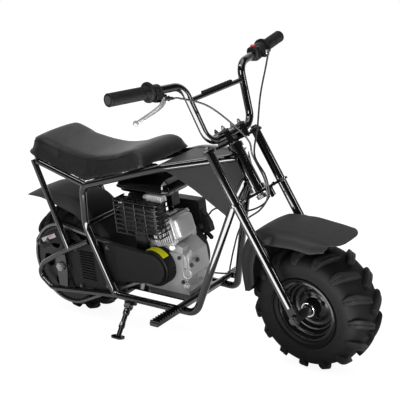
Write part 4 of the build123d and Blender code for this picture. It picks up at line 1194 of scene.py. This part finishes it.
def throttleShell():
    # two moulded halves round the bar, a switch pod with its rounded face and a block where the cable's
    # barrel starts
    end, along, ahead = barAxes(1)
    halves = [(0, 11.4), (0, 19.5), (1.6, 21.2), (12.6, 21.2), (13.2, 20.4), (14.8, 20.4), (15.4, 21.2),
              (26, 21.2), (28, 19.5), (28, 11.4)]
    heap = Heap().add(lathe(halves, end + along * 115, along, 48, closed=True))
    grown = [(146, -5), (147, -1), (149, 0), (169, 0), (171.5, -1.5), (173, -6)]
    stages = [(at, 37 + grow, 39 + grow, 10) for at, grow in grown]
    heap.add(stacked(stages, end, along, ahead, zWay, 7))
    heap.add(slab(byBar(1, 130, 18, -8), (24, 16, 18), along))
    return heap.shell()


def throttleBarrel():
    # turned cable barrel from the housing towards the cable's first bend
    start = byBar(1, 128, 22, -6)
    barrel = [(-6, .01), (-6, 6.5), (10, 6.5), (11, 5), (24, 4.6), (25, 5.8), (31, 5.8), (32, 3.6), (38, 3.2),
              (38, .01)]
    return lathe(barrel, start, byBar(1, 160, 45, 2) - start, 28)


def killButton():
    # rounded button on top of the switch pod
    end, along, ahead = barAxes(1)
    return prism(roundRect(15, 11, 4, 6), -3, 4.2, byBar(1, 159, -3, 19.5), ahead, along)


housing = makePiece("throttleHousing", throttleShell(), "steering", "plasticBlack", bevel=0.7)
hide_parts("throttle_housing")
makePiece("throttleBarrel", throttleBarrel(), "steering", "zincSteel", crease=40)
makePiece("killButton", killButton(), "steering", "redPlastic", bevel=1.2)


padSet = {"x": frontX - 266.76, "z": 578.44, "ribs": 17}


def crossbarPad():
    # strip on top of the crossbar with ribs at an even pitch
    heap = Heap().add(slab((padSet["x"], 0, padSet["z"] + 8.2), (9, 128, 4.2)))
    for y in np.linspace(-62, 62, padSet["ribs"]):
        heap.add(slab((padSet["x"], y, padSet["z"] + 11), (10, 3.4, 3)))
    return heap.shell()


makePiece("crossbarPad", crossbarPad(), "steering", "plasticBlack", bevel=0.7)


forkUp = byFork((0, 0, 1)) - byFork((0, 0, 0))
forkBack = byFork((0, 1, 0)) - byFork((0, 0, 0))
clampSet = {"barClamp": 36, "leg": 107, "pinchShare": .84, "upper": 494.5, "lower": 340}


def clampDress():
    # bar clamp caps and their four bolts with washers, leg cap bolts, pinch bolts and the stem's nuts
    heap = Heap()
    cap = [(0, .01), (0, 15.5), (4, 15.5), (6, 13), (6, .01)]
    low = clampSet["lower"]
    for y in (-clampSet["barClamp"], clampSet["barClamp"]):
        for behind in (-20, 8):
            heap.add(hexBolt(byFork((y, behind, 531.5)), forkUp, 9.5, 7, 8.5, 3))
        heap.add(slab(byFork((y, -6.2, 529)), (26, 40, 5), yWay, forkUp))
    for leg in (-clampSet["leg"], clampSet["leg"]):
        pinch = leg * clampSet["pinchShare"]
        heap.add(lathe(cap, byFork((leg, 0, 498)), forkUp, 40))
        heap.add(hexBolt(byFork((leg, 0, 503)), forkUp, 17, 7))
        heap.add(hexBolt(byFork((pinch, 16, clampSet["upper"])), forkBack, 9, 5, 6))
        heap.add(hexBolt(byFork((pinch, 16, low)), forkBack, 9, 5, 6))
        heap.add(hexBolt(byFork((pinch, -15, low)), -forkBack, 9, 5, 6))
    heap.add(hexBolt(byFork((0, 0, 500)), forkUp, 27, 11, 17))
    heap.add(hexBolt(byFork((0, 0, 331)), -forkUp, 24, 9, 15))
    return heap.shell()


makePiece("clampDress", clampDress(), "steering", "darkSteel", bevel=0.4, crease=32)


def stopBuffer():
    # ribbed rubber bullet hanging from the lower clamp
    profile = [(0, .01), (0, 11.5)]
    for k in range(4):
        rib = [(2, 11.8), (5, 11.6), (5.6, 10), (6.6, 10)]
        profile += [(down + 5 * k, radius - k) for down, radius in rib]
    profile += [(24, 7), (27, 3), (27.6, .01)]
    return lathe(profile, byFork((42, 0, 337)), -forkUp, 32)


makePiece("stopBuffer", stopBuffer(), "steering", "shroudGrey", crease=50)
print("stage: controls")

# cables: smooth lines routed from the steering to the frame, close to its axis
cableSet = {"radius": 2.6, "sides": 12, "bendFrom": (frontX - 140, 0, 262), "bendTo": (frontX - 178, 0, 438)}
brakeMeet = (-4, -41.4)
throttleMeet = (5, -41.4)
caliperX = rearX + 63
caliperZ = 58
brakeY = frameHalf - 26
railSide = frameHalf - 10
brakeRoute = [byBar(-1, 188, 27, -21.9), byBar(-1, 200, 40, -22), (frontX - 212, -120, 571),
              (frontX - 184, -60, 509), (frontX - 166, -16, 449),
              *byFork([(*brakeMeet, 436), (*brakeMeet, 376)]),
              (frontX - 131, -4, 319), (frontX - 132, -4, 285), (frontX - 160, -4, 249),
              (frontX - 208, -3, 215), (frontX - 250, 10, 169), (crankX + 200, 48, 81),
              (crankX + 168, 66, 19), (crankX + 138, railSide - 8, -16), (crankX + 72, railSide, -30),
              (crankX - 8, railSide, -38), (crankX - 108, railSide - 4, -36),
              (rearX + 174, brakeY + 8, -2), (caliperX + 51, brakeY + 7, caliperZ),
              (caliperX + 19, brakeY + 7, caliperZ)]
throttleRoute = [byBar(1, 150, 38, 3), byBar(1, 159, 45, 5.7), (frontX - 220, 168, 607),
                 (frontX - 196, 96, 543), (frontX - 174, 40, 471),
                 *byFork([(*throttleMeet, 436), (*throttleMeet, 376)]),
                 (frontX - 131, 5, 319), (frontX - 133, 5, 287), (frontX - 160, 7, 259),
                 (frontX - 206, 8, 237), (crankX + 242, 14, 223), (crankX + 172, 40, 215),
                 (crankX + 120, 72, 190),
                 (crankX + 95, 83, crankZ + 122), (crankX + 72, 83, crankZ + 108)]
cableOf = {"brakeCable": (brakeRoute, "control_cables"), "throttleCable": (throttleRoute, "frame_cables")}
for name, (route, node) in cableOf.items():
    sheath = sweep(smoothLine(route, 10), ringOf(cableSet["radius"], cableSet["sides"]), up=(.31, .95, .02))
    cable = makePiece(name, sheath, None, "cableSheath", crease=60)
    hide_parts(node)
    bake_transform(cable)
print("stage: cables")


standSet = {"pivot": (rearX + 268, -112, -85), "foot": (rearX + 286, -192, -149)}


def standDress():
    # two turned collars round the leg, by their distance down from its pivot
    pivot = standSet["pivot"]
    down = np.subtract(standSet["foot"], pivot)
    heap = Heap()
    heap.add(lathe([(10, .01), (10, 9.4), (12, 10.4), (26, 10.4), (28, 9), (28, .01)], pivot, down, 32))
    heap.add(lathe([(56, .01), (56, 8.6), (66, 9.6), (70, 9.6), (72, 8.4), (72, .01)], pivot, down, 32))
    return heap.shell()


makePiece("standCollars", standDress(), "side_stand", "tubePaint", crease=40)
print("stage: stand")

# seat: a foam block swollen under its vinyl, then its piping; distances along it are from the rear axle
seatSet = {"foot": 114, "wall": 92, "flat": 75, "shrink": 3, "ends": (-87, 398), "crown": 2.5,
           "rails": ((160, 289, -0.2727), (146, 286.55, 0.2774)), "onRail": 10.6,
           "pan": ((-64, 367), (172, 309), (396, 389)), "panHalf": 96, "panEnds": (-58, 390),
           "taperAt": (60, 200, 320, 398), "taper": (0, 3, -2, -7)}
swellSet = {"voxel": 0.0052, "pressure": 4.0, "frames": 20, "cap": 0.006, "heldBelow": 25}
seatTop = [(-88, 368), (-85, 382), (-75, 400), (-58, 412), (-34, 415), (8, 403), (52, 390), (124, 377),
           (190, 374), (262, 385), (310, 400), (344, 408), (368, 408), (384, 402), (394, 393), (400, 384)]


def skirtLow(x):
    # the cover's lower edge lies on whichever side rail is the higher there
    lines = [z + (x - at) * slope for at, z, slope in seatSet["rails"]]
    return np.maximum(*lines) + seatSet["onRail"]


def seatBlock():
    # stations along the seat: leaning walls, a rolled top edge, a slight crown, and a skirt round the pan
    g = seatSet
    stations = np.linspace(*g["ends"], 84)
    top = smoothLine(seatTop, 10)
    high = np.interp(stations, top[:, 0], top[:, 1]) - g["shrink"]
    low = np.minimum(skirtLow(stations), high - 4)
    pan = np.interp(stations, *zip(*g["pan"]))
    inPan = (stations > g["panEnds"][0]) & (stations < g["panEnds"][1])
    roof = np.where(inPan, np.clip(pan, low, high - 6), low)
    corner = np.interp(stations, [-87, -80, -66, -40, 340, 380, 390, 398], [26, 16, 6, 0, 0, 2, 5, 12])
    taper = np.interp(stations, g["taperAt"], g["taper"])
    foot = g["foot"] - corner
    wall = g["wall"] - corner - taper
    flat = (g["flat"] - corner - taper)[:, None]
    bend = np.minimum(15.0, np.minimum((high - low) * .6, (high - roof) * .5))[:, None]
    roll = np.linspace(0, pi / 2, 9)
    rollY = flat + (wall[:, None] - flat) * np.cos(roll)
    rollZ = high[:, None] - 2 - bend * (1 - np.sin(roll))
    sideY = np.hstack([foot[:, None], foot[:, None] - .5, rollY])
    sideZ = np.hstack([low[:, None], low[:, None] + 4, rollZ])
    topY = (flat - 12) * np.linspace(1, -1, 9)
    topZ = high[:, None] + g["crown"] * (1 - (topY / flat) ** 2) - 2
    inner = np.minimum(g["panHalf"], foot - 4)
    underY = np.stack([-inner, 1.5 - inner, 0 * inner, inner - 1.5, inner], -1)
    underZ = np.stack([low, roof, roof, roof, low], -1)
    y = np.hstack([sideY, topY, -sideY[:, ::-1], underY])
    z = np.hstack([sideZ, topZ, sideZ[:, ::-1], underZ])
    x = np.broadcast_to(stations[:, None] + rearX, y.shape)
    return loft(np.stack([x, y, z], -1))


def swell(piece):
    # voxel remesh, cloth under pressure for twenty frames, each point's move capped and held in near the
    # rails
    remesh = piece.modifiers.new("voxels", "REMESH")
    remesh.mode = "VOXEL"
    remesh.voxel_size = swellSet["voxel"]
    bpy.context.view_layer.update()
    mesh = bpy.data.meshes.new_from_object(piece.evaluated_get(bpy.context.evaluated_depsgraph_get()))
    piece.modifiers.clear()
    piece.data = mesh
    start = vertexPlaces(mesh)
    cloth = piece.modifiers.new("swell", "CLOTH")
    cloth.settings.use_pressure = True
    cloth.settings.uniform_pressure_force = swellSet["pressure"]
    cloth.settings.effector_weights.gravity = 0
    cloth.point_cache.frame_start = 1
    cloth.point_cache.frame_end = swellSet["frames"]
    scene = bpy.context.scene
    for step in range(1, swellSet["frames"] + 1):
        scene.frame_set(step)
    end = vertexPlaces(piece.evaluated_get(bpy.context.evaluated_depsgraph_get()).to_mesh())
    piece.evaluated_get(bpy.context.evaluated_depsgraph_get()).to_mesh_clear()
    piece.modifiers.clear()
    scene.frame_set(1)
    move = end - start
    size = np.linalg.norm(move, axis=1, keepdims=True)
    move *= np.minimum(1, swellSet["cap"] / np.maximum(size, 1e-9))
    upright = unparked(start)
    overRail = upright[:, 2:] - skirtLow(upright[:, :1] - rearX)
    free = np.clip(overRail / swellSet["heldBelow"], 0, 1)  # the skirt stays on its rails
    mesh.vertices.foreach_set("co", (start + move * free).ravel())


seat = makePiece("vinylSeat", seatBlock(), None, "seatVinyl", crease=180)
swell(seat)
seat.data.materials.clear()
seat.data.materials.append(paints["seatVinyl"].material)
seat.data.shade_smooth()
relax = seat.modifiers.new("relax", "SMOOTH")
relax.iterations = 4
relax.factor = 0.6
finer = seat.modifiers.new("finer", "SUBSURF")
finer.levels = finer.render_levels = 1
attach(seat, "frame")
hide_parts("seat")


pipingSet = {"bead": 1.5, "cornerBead": 1.4, "sides": 8}


def pipingLine(points, lift):
    # points pushed onto the swollen cover, stood out along its normals and given in the upright bike
    cover = seat.evaluated_get(bpy.context.evaluated_depsgraph_get())
    found = [cover.closest_point_on_mesh(Vector(spot)) for spot in parked(points)]
    return unparked(np.array([place + normal * lift / 1000 for _, place, normal, _ in found]))


def seatPiping():
    # a sewn bead along each top edge of the cover, down its front corner, and one across the back
    heap = Heap()
    bead = ringOf(pipingSet["bead"], pipingSet["sides"])
    cornerBead = ringOf(pipingSet["cornerBead"], pipingSet["sides"])
    top = smoothLine(seatTop, 10)
    run = np.linspace(-62, 346, 70)
    edgeZ = np.interp(run, top[:, 0], top[:, 1]) - 8
    tuck = np.interp(run, seatSet["taperAt"][:3], seatSet["taper"][:3])
    y = seatSet["wall"] + 1
    down = np.linspace(0, 1, 16)
    for side in (-1, 1):
        edge = np.stack([run + rearX, side * (y - tuck), edgeZ], -1)
        heap.add(sweep(pipingLine(edge, 0.7), bead))
        corner = np.stack([rearX + 352 + 34 * down, side * (y + 4 + 5 * down), 398 - 34 * down], -1)
        heap.add(sweep(pipingLine(corner, 0.6), cornerBead, up=(0, side, 0)))
    rear = np.array([rearX - 60, 0, 410]) + np.linspace(-94, 94, 40)[:, None] * yWay
    heap.add(sweep(pipingLine(rear, 0.2), bead))
    return heap.shell()


makePiece("seatPiping", seatPiping(), "frame", "seatVinyl", crease=80)
print("stage: seat")

# lamps, floor and backdrop
lampSet = [  # name, place, aim, long axis, width, length, radiance, lights matte surfaces too
    ("glossLow", (0.98, -1.24, 0.015), (0.98, -1.24, 1.0), (0.62, -0.78, 0), 1.9, 2.2, 11, False),
    ("glossFront", (0.3, -3.2, 1.9), (0, 0, 0.5), (0, 0, 1), 1.0, 1.2, 14, False),
    ("glossSide", (2.9, 0.7, 1.1), (0, 0, 0.5), (0, 0, 1), 0.35, 1.8, 14, False),
    ("glossTop", (-0.9, -1.3, 3.0), (0, 0, 0.5), (1, 0, 0), 0.45, 2.2, 8, False),
    ("topSoft", (0.3, -0.4, 3.3), (0, 0, 0), (1, 0, 0), 2.6, 2.6, 1.9, True),
]
for name, place, aim, longAxis, width, length, radiance, onMatte in lampSet:
    lamp = bpy.data.lights.new(name, "AREA")
    lamp.shape = "RECTANGLE"
    lamp.size = width
    lamp.size_y = length
    lamp.energy = radiance * width * length * pi
    holder = bpy.data.objects.new(name, lamp)
    back = unit(np.array(place) - np.array(aim))
    rise = unit(np.array(longAxis) - back * np.dot(longAxis, back))
    turn = np.eye(4)
    turn[:3] = np.stack([np.cross(rise, back), rise, back, place], -1)
    holder.matrix_world = Matrix(turn.tolist())
    holder.visible_camera = False
    holder.visible_diffuse = onMatte
    bpy.context.scene.collection.objects.link(holder)

# white to the camera; to gloss, white on the backdrop's side and dim on the open side; an even grey as light
studioSet = {"backdrop": (-0.61, 0.76, 0.0), "edge": 0.3, "gloss": 0.04, "light": 0.72, "floorGlow": 0.72,
             "floorWhite": 1.28, "floorHalf": 9}
world = bpy.data.worlds.new("studio")
bpy.context.scene.world = world
world.use_nodes = True
sky = Board(world.node_tree)
seen = sky.node("LightPath", {}, {}, 0)
glossy = sky.node("LightPath", {}, {}, 3)
shiny = glossy.maths("MAXIMUM", glossy, sky.node("LightPath", {}, {}, 6))
directions = {0: sky.node("TexCoord", {}, {}, 0), 1: studioSet["backdrop"]}
toBackdrop = sky.node("VectorMath", {"operation": "DOT_PRODUCT"}, directions, 1)
facing = ((toBackdrop - studioSet["edge"]) / studioSet["edge"]).held()
backdrop = facing * (1 - studioSet["gloss"]) + studioSet["gloss"]
strength = seen + (1 - seen) * (shiny * backdrop + (1 - shiny) * studioSet["light"])
world.node_tree.links.new(strength.socket, world.node_tree.nodes["Background"].inputs["Strength"])
world.node_tree.nodes["Background"].inputs["Color"].default_value = (1, 1, 1, 1)

far = studioSet["floorHalf"]
floorMesh = bpy.data.meshes.new("floor")
floorMesh.from_pydata([(-far, -far, 0), (far, -far, 0), (far, far, 0), (-far, far, 0)], [], [(0, 1, 2, 3)])
floor = bpy.data.objects.new("floor", floorMesh)
bpy.context.scene.collection.objects.link(floor)
floorPaint = Paint("floorWhite", (0.8, 0.8, 0.8), 0.9, specular=0)
floorPaint.give("Base Color", floorPaint.shade(floorPaint.noise(0.7, 2), 0.99, 1.01))
glow = floorPaint.node("Emission", {}, {"Color": (1, 1, 1, 1), "Strength": studioSet["floorWhite"]})
look = floorPaint.node("LightPath", {}, {}, 0)
plain = Wire(floorPaint, floorPaint.shader.outputs[0])
mixed = floorPaint.node("MixShader", {}, {0: look * studioSet["floorGlow"], 1: plain, 2: glow})
floorPaint.tree.links.new(mixed.socket, floorPaint.tree.nodes["Material Output"].inputs["Surface"])
floorMesh.materials.append(floorPaint.material)
bpy.context.scene.view_settings.view_transform = "Standard"
print("stage: studio")
